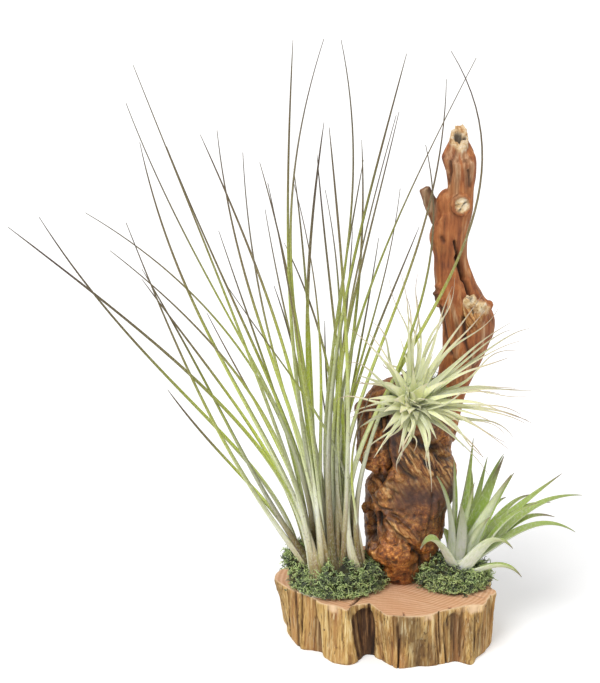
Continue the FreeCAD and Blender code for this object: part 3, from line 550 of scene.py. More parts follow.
# Materials
def slab_material():
    """Sawn cedar slice, unsealed: a pinkish sawn face with growth rings and saw marks, and a
    weathered, fluted side whose fibres run down it, with rusty bands, stains and hair cracks.
    Shade is painted into the side's flutes, splits and pockets and into the top's cracks."""
    material, tree, surface = new_material("sawn cedar slice")
    rings = put(tree, "TexWave", {"Vector": stretched(tree, (1.0, 1.15, 0.2)), "Scale": 95.0,
                                  "Distortion": 5.0, "Detail": 3.0, "Detail Scale": 0.6},
                wave_type="RINGS", rings_direction="Z").outputs["Fac"]
    saw = noise(tree, stretched(tree, (60.0, 900.0, 60.0), (0.0, 0.0, 0.5)), 1.0, 3.0)
    patches = noise(tree, stretched(tree), 38.0, 4.0)
    sawn = mix(tree, 0.35, shade(tree, rings, [(0.0, "#CD976C"), (0.55, "#E3B28A"), (1.0, "#F1CAA4")]),
               shade(tree, saw, [(0.3, "#C48660"), (0.7, "#F6D6B8")]))
    sawn = mix(tree, times(tree, patches, 0.5), sawn, linear("#C98A5C"))

    fibres = noise(tree, stretched(tree, (420.0, 420.0, 26.0)), 1.0, 5.0, 0.62)
    bands = noise(tree, stretched(tree, (75.0, 75.0, 9.0)), 1.0, 3.0)
    stains = noise(tree, stretched(tree, (46.0, 46.0, 17.0)), 1.0, 5.0, 0.65)
    specks = noise(tree, stretched(tree, (300.0, 300.0, 170.0)), 1.0, 2.0)
    hairs = noise(tree, stretched(tree, (820.0, 820.0, 36.0)), 1.0, 3.0, 0.6)
    side = shade(tree, fibres, [(0.30, "#523820"), (0.40, "#A07A44"), (0.52, "#CBA562"),
                                (0.68, "#ECD6A0")])
    for value, stops, tint in [(bands, [(0.46, 0.0), (0.68, 0.6)], "#A8683E"),
                               (stains, [(0.50, 0.0), (0.66, 0.75)], "#5A4024"),
                               (specks, [(0.69, 0.0), (0.73, 0.85)], "#3A2412"),
                               (hairs, [(0.58, 0.0), (0.66, 0.8)], "#4A3018"),
                               (hairs, [(0.30, 0.5), (0.40, 0.0)], "#F2E2B8")]:
        side = stain(tree, side, value, stops, tint)
    # Painted shade in the side's flutes, splits and pockets, and random dark patches of wood
    side = cover(tree, side, "painted_shade_and_dark_wood", fibres,
                 [(0.36, "#1C0E08"), (0.52, "#47291A"), (0.68, "#94683E")])

    colour = mix(tree, mask(tree, "sawn"), side, sawn)
    colour = mix(tree, mask(tree, "rim"), colour, linear("#E9C8A2"))
    # Painted shade: the sawn top's cracks near-black
    colour = mix(tree, mask(tree, "crack"), colour, linear("#2A1710"))
    dress(tree, surface, colour, Roughness=0.78, IOR=1.45)
    relief(tree, surface, mix(tree, mask(tree, "sawn"), fibres, saw), 0.7, 0.0006)
    return material


def driftwood_material():
    """Oiled root wood and a weathered limb of the same tree: chestnut and amber with a painted
    highlight on the burl's ridges and painted near-black shade in its hollows, under a low sheen;
    a dry terracotta limb with grey lengthwise streaks and painted shade in its cracks and holes."""
    material, tree, surface = new_material("oiled driftwood")
    place = stretched(tree)
    clouds = noise(tree, place, 55.0, 5.0, 0.6, 0.6)
    mottle = noise(tree, place, 260.0, 5.0, 0.65, 0.4)
    swirl = noise(tree, place, 430.0, 6.0, 0.7, 1.8)
    fibre = noise(tree, stretched(tree, (480.0, 480.0, 42.0), (0.0, 0.5, 0.0)), 1.0, 5.0, 0.6)
    streak = noise(tree, stretched(tree, (330.0, 330.0, 22.0)), 1.0, 5.0, 0.6)

    burl = shade(tree, clouds, [(0.30, "#2E160E"), (0.43, "#63331A"), (0.56, "#965426"),
                                (0.70, "#CE9048")])
    burl = mix(tree, 0.30, burl, shade(tree, mottle, [(0.37, "#4A2614"), (0.66, "#E0A864")]))
    # Amber wood, and a painted highlight on the burl's ridges
    burl = cover(tree, burl, "amber_and_highlight", mottle, [(0.34, "#6A330F"), (0.50, "#B56A26"), (0.66, "#F0B868")])
    grain = shade(tree, swirl, [(0.36, "#1E1E1E"), (0.50, "#808080"), (0.64, "#EAEAEA")])
    burl = mix(tree, 0.55, burl, grain, "OVERLAY")
    burl = cover(tree, burl, "dusk", mottle, [(0.3, "#26130E"), (0.6, "#4C2A1E"), (0.78, "#7C4A30")])

    limb = shade(tree, streak, [(0.30, "#4A2614"), (0.43, "#874A28"), (0.56, "#B06A3A"),
                                (0.72, "#D49E6A")])
    rust = shade(tree, clouds, [(0.34, "#4A2416"), (0.50, "#A8622F"), (0.66, "#C98A4C")])
    limb = mix(tree, 0.3, limb, rust)
    limb = cover(tree, limb, "worn", streak, [(0.32, "#74512F"), (0.50, "#BC9870"), (0.68, "#F0E0C0")])

    colour = mix(tree, mask(tree, "limb"), burl, limb)
    colour = cover(tree, colour, "fibre", fibre, [(0.34, "#44220F"), (0.46, "#9C6230"),
                                                  (0.57, "#CE9A5A"), (0.70, "#F2D29C")])
    colour = cover(tree, colour, "pale", mottle,
                   [(0.34, "#A87A48"), (0.48, "#E2C492"), (0.66, "#F8ECD2")])
    # Painted near-black shade in cracks, pits, holes and grooves; the same colour darkens bark and twig
    colour = mix(tree, mask(tree, "painted_shade_and_dark_wood"), colour, linear("#140A07"))
    dress(tree, surface, colour, IOR=1.48)
    gloss = put(tree, "MapRange", {"Value": mask(tree, "limb"), "To Min": 0.42, "To Max": 0.70})
    tree.links.new(gloss.outputs[0], surface.inputs["Roughness"])
    height = mix(tree, mask(tree, "limb"), mix(tree, 0.4, mottle, swirl), streak)
    relief(tree, surface, height, 0.9, 0.0011)
    return material


def moss_material(name, dark, light, tip):
    """Dyed reindeer lichen: soft matte strands, near-black at the root as painted shade deep in the
    clump and pale at the tips, yellowish in patches and darkened in whole sprigs by their tone."""
    material, tree, surface = new_material(name)
    tone = mask(tree, "tone")
    # Painted shade: near-black at the strand's root, deep in the clump
    strand = shade(tree, mask(tree, "along"), [(0.38, dark), (0.66, light), (0.95, tip)])
    spot = noise(tree, stretched(tree), 70.0, 2.0)
    patch = maths(tree, "MULTIPLY", times(tree, spot, tone), 0.7, True)
    colour = mix(tree, patch, strand, linear("#B7B052"))
    colour = mix(tree, 1.0, colour, shade(tree, tone, [(0.25, 0.14), (0.62, 1.0)]), "MULTIPLY")
    dress(tree, surface, colour, Roughness=0.85, Sheen_Weight=0.2)
    relief(tree, surface, noise(tree, stretched(tree), 1800.0, 2.0), 0.4, 0.0002)
    return material


def leaf_material(name, outside, inside, rib, coat, scale_size, painted_side_shade=0.0, freckles=0.0):
    """A living air-plant leaf: two rows of colours run from base to tip, one outside and one on
    the inner face; fine ribs run lengthwise, a coat of silver scales dulls the shine, and a
    painted olive shade along one side of each leaf and brown freckles come in by the shares given."""
    material, tree, surface = new_material(name)
    along = mask(tree, "along")
    tone = mask(tree, "tone")
    across = mask(tree, "across")
    shifted = maths(tree, "ADD", along, times(tree, maths(tree, "SUBTRACT", tone, 0.5), 0.20))
    colour = mix(tree, mask(tree, "inner"), shade(tree, shifted, outside), shade(tree, shifted, inside))
    # Painted shade: olive along one side of each leaf, strongest over the middle of its length
    side = shade(tree, maths(tree, "ADD", across, tone), [(0.05, painted_side_shade), (0.45, 0.0)])
    leafy = shade(tree, along, [(0.10, 0.0), (0.32, 1.0), (0.90, 0.3)])
    colour = mix(tree, times(tree, side, leafy), colour, linear("#54561F"))

    grid = put(tree, "CombineXYZ", {0: times(tree, across, 5.0), 1: times(tree, along, 14.0),
                                    2: times(tree, tone, 40.0)})
    ribs = noise(tree, grid.outputs[0], 1.0, 3.0, 0.6)
    bare = shade(tree, along, [(0.50, 1.0), (0.90, 0.2)])
    lines = shade(tree, ribs, [(0.42, 0.0), (0.72, 0.5)])
    colour = mix(tree, times(tree, lines, bare), colour, linear(rib))
    scales = noise(tree, stretched(tree, (1.0, 1.0, 0.45)), scale_size, 4.0, 0.7)
    silver = shade(tree, scales, [(0.48, 0.0), (0.70, coat)])
    colour = mix(tree, times(tree, silver, bare), colour, linear("#EDEEDC"))
    spots = noise(tree, stretched(tree, (1.0, 1.0, 0.6)), 0.5 * scale_size, 2.0, 0.6)
    colour = stain(tree, colour, spots, [(0.60, 0.0), (0.70, freckles)], "#6A5A38")
    colour = mix(tree, 1.0, colour, shade(tree, tone, [(0.0, 0.62), (0.45, 1.0)]), "MULTIPLY")
    dress(tree, surface, colour, Roughness=0.55, IOR=1.42, Sheen_Weight=0.12, Subsurface_Weight=0.30,
          Subsurface_Radius=(0.003, 0.003, 0.0015), Subsurface_Scale=0.5)
    relief(tree, surface, mix(tree, 0.5, ribs, scales), 0.45, 0.0004)
    return material


def crown_material(name, dark, middle, pale):
    """Leaf sheaths packed round a plant's base: papery or fresh, finely ribbed lengthwise."""
    material, tree, surface = new_material(name)
    ribs = noise(tree, stretched(tree, (900.0, 900.0, 60.0)), 1.0, 4.0)
    dress(tree, surface, shade(tree, ribs, [(0.3, dark), (0.5, middle), (0.72, pale)]), Roughness=0.6)
    relief(tree, surface, ribs, 0.5, 0.0004)
    return material


def glue_material():
    """Clear hot-melt glue: a milky, faintly yellow gel with a soft shine."""
    material, tree, surface = new_material("hot-melt glue")
    cloud = noise(tree, stretched(tree), 190.0, 3.0)
    dress(tree, surface, shade(tree, cloud, [(0.3, "#CDBF98"), (0.7, "#EDE6CC")]),
          Roughness=0.28, IOR=1.48, Transmission_Weight=0.35)
    relief(tree, surface, cloud, 0.3, 0.0005)
    return material


def steel_material():
    """Zinc-plated steel screw: bright grey metal with a fine turned grain."""
    material, tree, surface = new_material("zinc-plated steel")
    turned = noise(tree, stretched(tree, (1.0, 1.0, 6.0)), 1400.0, 2.0)
    dress(tree, surface, shade(tree, turned, [(0.3, "#9C9FA3"), (0.7, "#C3C6C9")]),
          Metallic=1.0, Roughness=0.36)
    relief(tree, surface, turned, 0.3, 0.0001)
    return material


# Wood slice
def flutes(top, place, length):
    """How far each place of the rim lies inside the outline's local average, which is positive
    in a flute, and the way out. The average weighs places by exp(-r squared), r in 11 mm."""
    window = np.exp(-(np.minimum(place, length - place) / 11.0) ** 2)
    weights = np.fft.fft(window / window.sum())
    average = np.stack([np.real(np.fft.ifft(np.fft.fft(top[:, k]) * weights)) for k in (0, 1)], -1)
    ahead = np.roll(top, -2, 0) - np.roll(top, 2, 0)
    outward = unit(np.stack([ahead[:, 1], -ahead[:, 0]], -1))
    return ((average - top) * outward).sum(1), outward


def slab_marks(ring, around, up, top, place, length):
    """Splits, chips and pockets of the side: how deep each goes at points that lie around the
    rim's length and up the share of its height. A split's depth falls as exp(-r squared)."""
    def away(across, back, drift=0.0):
        centre = place[np.argmin(np.hypot(top[:, 0] - across, top[:, 1] - back))]
        return shorter_way(around - centre - drift * up, length)

    rng = np.random.default_rng(5)
    splits = np.zeros(len(ring))
    for _ in range(SMALL_SPLIT_COUNT):
        centre, width, depth = rng.uniform(0, length), rng.uniform(0.4, 1.1), rng.uniform(0.8, 3.0)
        foot, head = sorted(rng.uniform(-0.2, 1.2, 2))
        gap = shorter_way(around - centre - rng.uniform(-3, 3) * up, length)
        splits = np.maximum(splits, bell(gap, width) * between(up, foot, head) * depth)
    for across, back, foot, head in SLAB_SPLITS:
        cut = bell(away(across, back, 1.5), SLAB_SPLIT_WIDTH) * between(up, foot, head)
        splits = np.maximum(splits, cut * SLAB_SPLIT_DEPTH)

    chips = np.zeros(len(ring))
    start = 0.90 + 0.06 * rough(ring, (3.0, 3.0, 40.0), 15, 2)
    for across, back, width in SLAB_CHIPS:
        above = smooth_step(up, start - 0.03, start + 0.03)
        chips = np.maximum(chips, bell(away(across, back), width) * above)

    pockets = np.zeros(len(ring))
    for across, back, width, depth, head in SLAB_POCKETS:
        gap = away(across, back)
        arch = head - 0.10 * (gap / width) ** 2
        inside = bell(gap, width) * (1 - smooth_step(up, arch - 0.07, arch))
        pockets = np.maximum(pockets, inside * depth)
    return splits, chips, pockets


def slab_top(rim, shares):
    """The sawn face: the rim drawn in to a middle, with saw marks and short cracks."""
    middle = np.array(SLAB_TOP_MIDDLE)
    disc = middle + (rim[None] - middle) * shares[:, None, None]
    flat = np.concatenate([disc, np.full(disc.shape[:2] + (1,), SLAB_THICKNESS)], -1)
    cell = flat.reshape(-1, 3)
    crack = np.zeros(len(cell))
    for path, width in SLAB_TOP_CRACKS:
        crack = np.maximum(crack, bell(seen_distance(cell[:, [0, 2, 1]], path), width))
    height = 0.12 * rough(cell, (1.1, 9.0, 9.0), 21, 2) + 0.25 * rough(cell, 18.0, 23, 2) - 2.4 * crack
    flat[..., 2] += height.reshape(flat.shape[:2]) * np.minimum(1, (1 - shares) * 30)[:, None]
    return flat, crack


def slab_grid(count):
    """Side and top of the slice as rows of points, the underside's rim, and the masks. Side: the
    two outlines blended by height, pushed out and in by fibres that run down it, deeper inside
    each flute."""
    half = np.array([SLAB_WIDTH, SLAB_DEPTH]) / 2
    top = through_round(SLAB_TOP_SHARES, count) * half
    low = through_round(SLAB_UNDERSIDE_SHARES, count) * half
    step = np.linalg.norm(np.roll(top, -1, 0) - top, axis=1)
    place = np.concatenate([[0.0], np.cumsum(step)[:-1]])
    length = step.sum()
    inset, outward = flutes(top, place, length)

    levels = np.linspace(0.0, 1.0, SLAB_SIDE_ROWS)
    side = low[None] * (1 - levels[:, None, None]) + top[None] * levels[:, None, None]
    s, v = np.meshgrid(place, levels)
    turn = 2 * math.pi * s / length
    ring = np.stack([60 * np.cos(turn), 60 * np.sin(turn), v * SLAB_THICKNESS], -1).reshape(-1, 3)
    lean = ring + np.stack([ring[:, 2] * 0.05, ring[:, 2] * 0.03, 0 * ring[:, 2]], -1)
    splits, chips, pockets = slab_marks(ring, s.ravel(), v.ravel(), top, place, length)
    push = 1.5 * rough(lean, (7.0, 7.0, 60.0), 1, 2) + 1.0 * rough(lean, (2.6, 2.6, 30.0), 3, 2)
    push = push + 0.5 * rough(ring, (1.8, 1.8, 5.0), 7, 2)
    edge = smooth_step(np.minimum(v, 1 - v).ravel(), 0.0, 0.04)
    push = (push - splits) * (0.35 + 0.65 * edge) - 0.6 * (1 - edge) - pockets - 0.8 * chips
    push = push.reshape(s.shape) - np.clip(inset, 0, 3)[None] * 0.5 * np.sin(math.pi * v)
    side = side + push[..., None] * outward[None]
    # Painted shade: darker in the flutes, splits and pockets, with random dark patches of wood
    fleck = rough(ring, (2.2, 2.2, 14.0), 9, 2).reshape(s.shape)
    painted_shade_and_dark_wood = np.clip(inset[None] * 0.16 + splits.reshape(s.shape) * 0.42
                     + pockets.reshape(s.shape) * (0.24 - 0.16 * fleck)
                     + 0.28 * rough(ring, (12.0, 12.0, 30.0), 11, 2).reshape(s.shape), 0, 0.94)

    shares = 1 - np.linspace(0, 1, SLAB_TOP_ROWS + 2)[1:-1] ** 1.5
    flat, crack = slab_top(side[-1], shares)
    worn = np.concatenate([smooth_step(levels, 0.97, 1.0), smooth_step(shares, 0.985, 1.0)])
    worn = np.repeat(worn, count) * np.tile(0.5 + 0.5 * rough(ring[-count:], 5.0, 13), len(worn))
    worn = np.maximum(worn, np.append(0.6 * chips, np.zeros(crack.size)))
    masks = {"sawn": np.repeat([0.0, 1.0], [s.size, crack.size]),
             "painted_shade_and_dark_wood": np.append(painted_shade_and_dark_wood, np.zeros(crack.size)),
             "crack": np.append(np.zeros(s.size), crack),
             "rim": np.clip(worn * 1.5, 0, 0.9)}
    grid = np.concatenate([np.concatenate([side, v[..., None] * SLAB_THICKNESS], -1), flat])
    return grid, low + (push[0][:, None] * outward), masks


def slab_underside(rim, first):
    """The flat underside between the rim and two blind screw holes: its points other than the
    rim's, counted from first, and its faces."""
    count = len(rim)
    turn = circle(SCREW_HOLE_SIDES)
    holes = [np.array(place) + SCREW_MOUTH_RADIUS * np.stack([np.cos(turn), np.sin(turn)], -1)
             for place in SCREW_PLACES]
    starts = [0] + [count + k * SCREW_HOLE_SIDES for k in range(len(holes) + 1)]
    loops = [list(range(start, stop)) for start, stop in zip(starts[:-1], starts[1:])]
    flat = [tuple(corner) for corner in np.concatenate([rim] + holes).tolist()]
    corners, _, made, _, _, _ = delaunay_2d_cdt(flat, [], loops, 1, 1e-5)
    corners, made = np.array(corners), np.array(made)
    keep = np.ones(len(made), bool)
    for place in SCREW_PLACES:
        keep &= np.linalg.norm(corners[made].mean(1) - place, axis=1) > SCREW_MOUTH_RADIUS * 0.97
    number = np.arange(len(corners))
    number = np.where(number < count, number, first + number - count)
    faces = number[made[keep][:, ::-1]].tolist()
    points = [np.column_stack([corners[count:], np.zeros(len(corners) - count)])]
    k = np.arange(SCREW_HOLE_SIDES)
    after = (k + 1) % SCREW_HOLE_SIDES
    for index, place in enumerate(SCREW_PLACES):
        mouth = first + index * SCREW_HOLE_SIDES
        floor = first + sum(len(some) for some in points)
        points.append(np.column_stack([holes[index], np.full(SCREW_HOLE_SIDES, SCREW_MOUTH_DEPTH)]))
        points.append(np.array([[place[0], place[1], SCREW_MOUTH_DEPTH]]))
        faces += np.stack([floor + after, floor + k, mouth + k, mouth + after], -1).tolist()
        faces += fan(floor + after, floor + k, floor + SCREW_HOLE_SIDES)
    return np.concatenate(points), faces


def make_slab():
    """The slice as one closed skin: its side and top, and a flat underside with two screw holes."""
    grid, rim, masks = slab_grid(SLAB_POINTS_AROUND)
    rows, count = grid.shape[:2]
    pole = rows * count
    k = pole - count + np.arange(count)
    faces = tube_faces(rows, count) + fan(k, np.roll(k, -1), pole)
    below, more = slab_underside(rim, pole + 1)
    points = np.concatenate([grid.reshape(-1, 3), grid[-1].mean(0)[None], below])
    masks = {key: np.append(values, np.full(len(points) - pole, float(key == "sawn")))
             for key, values in masks.items()}
    slab = make_piece("slab", points, faces + more, slab_material(), masks)
    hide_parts("base_slab")


make_slab()


# Driftwood. Lumps of the burl: place in shares (across, front, height), half sizes, and lean in
# the picture's plane in degrees. Lumps of the limb have a shift to the right after their place,
# and bits of bark at its left have places in millimetres.
BURL_LOBES = [
    ((-0.62, -0.45, 0.70), (9.5, 11.0, 31.0), 4.0), ((-0.22, -0.70, 0.20), (16.0, 11.0, 11.5), 0.0),
    ((-0.24, -0.76, 0.265), (5.5, 7.0, 8.0), 8.0), ((-0.40, -0.72, 0.51), (8.6, 8.0, 9.6), 10.0),
    ((-0.34, -0.84, 0.595), (4.6, 6.5, 6.4), -12.0), ((-0.10, -0.90, 0.585), (4.8, 5.0, 4.6), 20.0),
    ((-0.52, -0.72, 0.425), (4.6, 5.0, 5.4), 20.0), ((-0.76, -0.56, 0.400), (3.4, 4.0, 4.2), 0.0),
    ((-0.44, -0.62, 0.900), (8.6, 8.0, 7.0), 30.0), ((-0.86, -0.20, 0.860), (5.5, 6.0, 6.5), 0.0),
    ((0.02, -0.78, 0.315), (16.5, 7.5, 6.6), 35.0), ((0.86, -0.30, 0.715), (5.0, 7.0, 4.6), 0.0),
    ((0.80, -0.42, 0.765), (5.4, 6.0, 4.0), 0.0), ((0.30, 0.72, 0.42), (15.0, 15.0, 21.0), 0.0),
]
LIMB_LOBES = [
    ((0.91, 0.0, 0.617), 16.9, (3.8, 3.6, 4.2), 0.0),
    ((0.61, 0.0, 0.832), 0.0, (6.6, 7.5, 11.0), -6.0),
    ((0.98, -0.35, 0.53), 0.0, (13.0, 11.0, 16.0), 20.0),
]
BARK_BITS = [
    ((35.0, 2.0, 263.0), (3.0, 4.0, 2.2), 20.0), ((34.2, 1.5, 258.6), (3.4, 4.2, 2.2), -10.0),
    ((35.2, 1.5, 254.0), (3.2, 4.0, 2.4), 30.0), ((36.6, 2.0, 249.6), (3.2, 3.8, 2.0), 0.0),
]
# Splintered ends of the stub: start in the limb's shares, shift to the right, length, way, radii
STUB_SPLINTERS = [
    ((1.0, -0.55, 0.59), 4.0, 18.0, (0.16, -0.34, 0.9), (6.2, 5.8, 5.4, 5.0, 4.7, 4.0)),
    ((0.93, -0.72, 0.59), 4.0, 22.0, (-0.14, -0.34, 0.92), (5.8, 5.4, 5.0, 4.8, 4.4, 3.6)),
    ((1.10, -0.50, 0.58), 0.0, 19.0, (0.42, -0.26, 0.86), (5.4, 4.8, 4.2, 3.8, 3.4, 2.6)),
]

# The side twig: start in the limb's shares, length, way, bend in its middle, and radii
TWIG_SHARES = (0.68, 0.0, 0.775)
TWIG_LENGTH = 36
TWIG_WAY = (-0.52, 0.0, 0.85)
TWIG_BEND = (-1.6, 0.0, -0.8)
TWIG_RADII = (5.6, 5.1, 4.7, 4.4, 4.3, 4.2, 4.0, 3.8)

# The knot: its path in the limb's shares, how much further forward its face is, and radii
KNOT_SHARES = [(0.81, 0.0, 0.838), (0.81, -0.25, 0.838), (0.81, -0.35, 0.838)]
KNOT_FORWARD = 5
KNOT_RADII = (9.1, 8.0, 6.5)

# Size of the cells in which the lumps are joined into one skin
VOXEL_SIZE = 0.86

# Cuts: each a path as seen from the front (across, up), a width and a depth
BURL_CUTS = [
    ([(-2.5, 186), (-0.5, 170), (-1.2, 152), (1.0, 140)], 1.9, 5.0),
    ([(1.0, 140), (-3.0, 130), (-8.0, 126)], 1.8, 4.5), ([(5, 145), (12, 136), (20, 130)], 1.9, 3.4),
    ([(-10, 178), (-7, 172), (-5, 167)], 1.9, 3.8), ([(-12, 160), (-9, 150)], 1.2, 1.6),
    ([(-13, 170), (-2, 176), (3, 174)], 1.1, 2.4), ([(-18, 152), (-12, 147), (-5, 149)], 0.9, 1.6),
    ([(22, 160), (27, 153), (35, 150)], 3.2, 5.5), ([(14, 165), (19, 158)], 2.4, 4.0),
    ([(38, 143), (45, 138)], 1.6, 3.0), ([(-3, 126), (4, 122), (8, 118)], 1.1, 1.6),
    ([(-16, 106), (-12, 93), (-11, 80)], 4.6, 8.0), ([(-5, 101), (-4, 92)], 2.6, 5.0),
    ([(-9, 113), (-2, 106), (4, 105)], 1.2, 2.6), ([(-19, 96), (-14, 86)], 2.6, 4.0),
    ([(-3, 97.5), (3, 93), (12, 84), (21, 76)], 1.1, 2.6),
    ([(0, 104), (8, 101), (17, 94), (23, 84)], 1.0, 1.5), ([(20, 74), (26, 66), (27, 58)], 2.0, 3.5),
    ([(-9, 62), (-3, 56)], 1.6, 2.5), ([(33, 118), (31, 96), (29, 84)], 0.9, 1.3),
    ([(38, 112), (37, 100)], 0.8, 1.1),
]
BURL_BACK_CUTS = [
    ([(0, 180), (6, 150), (2, 120), (10, 92)], 2.2, 4.0), ([(34, 170), (28, 140)], 2.0, 3.5),
    ([(36, 112), (24, 84), (26, 64)], 2.4, 4.0), ([(-14, 132), (-4, 108)], 2.0, 3.4),
]
LIMB_CUTS = [
    ([(45, 296), (46.5, 290), (48.5, 284)], 1.0, 3.0),
    ([(48.5, 284), (51.0, 277), (53.0, 270)], 2.1, 7.0),
    ([(53.0, 270), (55.2, 264), (57.6, 257)], 1.3, 5.0),
    ([(40.5, 360), (42.0, 345), (40.5, 335)], 0.8, 1.6),
    ([(36.5, 250), (41.0, 228), (44.5, 215)], 1.0, 2.2), ([(53, 348), (54.5, 334)], 0.9, 1.6),
    ([(36.0, 299), (37.5, 296)], 1.3, 1.6), ([(52, 243), (54, 226), (58, 212)], 1.2, 2.4),
]
LIMB_BACK_CUTS = [
    ([(44, 350), (48, 320), (43, 296)], 1.2, 3.0), ([(50, 275), (58, 240), (56, 214)], 1.3, 3.0),
]
BURL_NOTCH = [(-25, 129), (-13, 126)]
BURL_FLOW = [(3, 182), (3, 160), (7, 146), (15, 137), (24, 130)]

# Other places on the driftwood's front (across, up), and in the limb's end (across, back)
RIGHT_SWELLING_UP = 127.0
RIGHT_HOLLOW_UP = 97.0
BARK_UP = 256.0
DARK_BAND_UP = 116.0
SPLINTER_BAND = (6.0, 147.0)
KNOB_PLACE = (0.0, 118.0)
KNOT_PLACE = (49.4, 321.9)
CUT_FACE_PLACE = (10.5, 89.5)
LOW_AMBER_PLACE = (5.0, 73.0)
EAR_AMBER_PLACE = (-9.0, 150.0)
AMBER_STREAKS_PLACE = (33.0, 98.0)
END_MIDDLE = (47.0, 8.0)
END_HOLES = [((46.0, 8.5), 4.4), ((52.5, 8.0), 2.4)]

# Swellings at the limb's left: height, half of how tall, and how far out
LEFT_SWELLINGS = [(303.0, 14.0, 3.0), (356.0, 12.0, 1.4)]

# How deep the notch goes, the share by which the limb's end narrows, and how far it tips
NOTCH_DEPTH = 9.6
END_NARROWING = 0.34
END_TIPPING = 17.0

# Where on the way up a feature starts, or stops, and where it is full, or gone
LIMB_UP = (186.0, 200.0)
LIMB_SHOULDER_UP = (150.0, 176.0)
STUB_UP = (229.0, 236.0)
STUB_STOP_UP = (261.0, 266.0)
CRUMBS_UP = (248.5, 252.5)
TWIG_UP = (300.0, 306.0)
SILVER_UP = (300.0, 345.0)
TIPPING_UP = (340.0, 376.0)
NARROWING_UP = (357.0, 374.0)
SAWN_END_UP = (371.0, 374.5)

# The same on the way to the right
LIMB_SHOULDER_ACROSS = (44.0, 49.0)
STUB_ACROSS = (46.0, 50.0)
BARK_STOP_ACROSS = (33.5, 36.0)
TWIG_STOP_ACROSS = (31.0, 34.0)


def burl_place(across, front, height):
    return np.array([FOOT_X + across * BURL_WIDTH / 2, FOOT_Y + front * BURL_DEPTH / 2,
                     SLAB_THICKNESS + height * BURL_HEIGHT])


def limb_place(across, front, height):
    return np.array([FOOT_X + across * LIMB_OFFSET, FOOT_Y + LIMB_SET_BACK + front * LIMB_DEPTH / 2,
                     SLAB_THICKNESS + height * LIMB_HEIGHT])


def burl_point(rows, angle):
    """The burl's skin: an oval whose middle and halves follow the table, times one plus two
    slow ripples round it that fade at its left and right."""
    height, middle, wide, deep = (rows[:, k, None] for k in range(4))
    swell = 0.07 * np.sin(3 * angle + 9 * height) + 0.05 * np.sin(5 * angle - 14 * height)
    lump = 1 + swell * (0.35 + 0.65 * np.sin(angle) ** 2)
    x = FOOT_X + BURL_WIDTH / 2 * (middle + wide * lump * np.cos(angle))
    y = FOOT_Y + BURL_DEPTH / 2 * deep * lump * np.sin(angle)
    return np.stack([x, y, SLAB_THICKNESS + BURL_HEIGHT * height + 0 * x], -1)


def limb_point(rows, angle):
    """The limb's skin: a rounded three-sided section that turns as it climbs."""
    height, offset, back, wide = (rows[:, k, None] for k in range(4))
    lump = 1 + 0.05 * np.sin(3 * angle + 11 * height) + 0.04 * np.sin(2 * angle - 8 * height)
    x = FOOT_X + LIMB_OFFSET * offset + LIMB_WIDTH / 2 * wide * lump * np.cos(angle)
    y = FOOT_Y + LIMB_SET_BACK * back + LIMB_DEPTH / 2 * wide * lump * np.sin(angle)
    return np.stack([x, y, SLAB_THICKNESS + LIMB_HEIGHT * height + 0 * x], -1)


def lobe(centre, halves, lean):
    """An egg at centre: rings whose radius is the sine of their angle from its lower pole,
    leaned in the picture's plane."""
    fall = np.linspace(0.12, math.pi - 0.12, 14)[:, None]
    turn = circle(24)[None]
    x = halves[0] * np.sin(fall) * np.cos(turn)
    y = halves[1] * np.sin(fall) * np.sin(turn)
    z = -halves[2] * np.cos(fall) + 0 * turn
    angle = math.radians(lean)
    return np.stack([x * math.cos(angle) + z * math.sin(angle), y,
                     z * math.cos(angle) - x * math.sin(angle)], -1) + centre


def stick(path, radii):
    """A round stick: circles square to a path, with a radius for each of its points."""
    path = np.asarray(path, float)
    ways = unit(np.gradient(path, axis=0))
    side = unit(np.cross(ways, [0.31, 0.9, 0.3]))
    other = np.cross(ways, side)
    turn = circle(20)[None, :, None]
    ring = side[:, None] * np.cos(turn) + other[:, None] * np.sin(turn)
    return path[:, None] + ring * np.asarray(radii, float)[:, None, None]


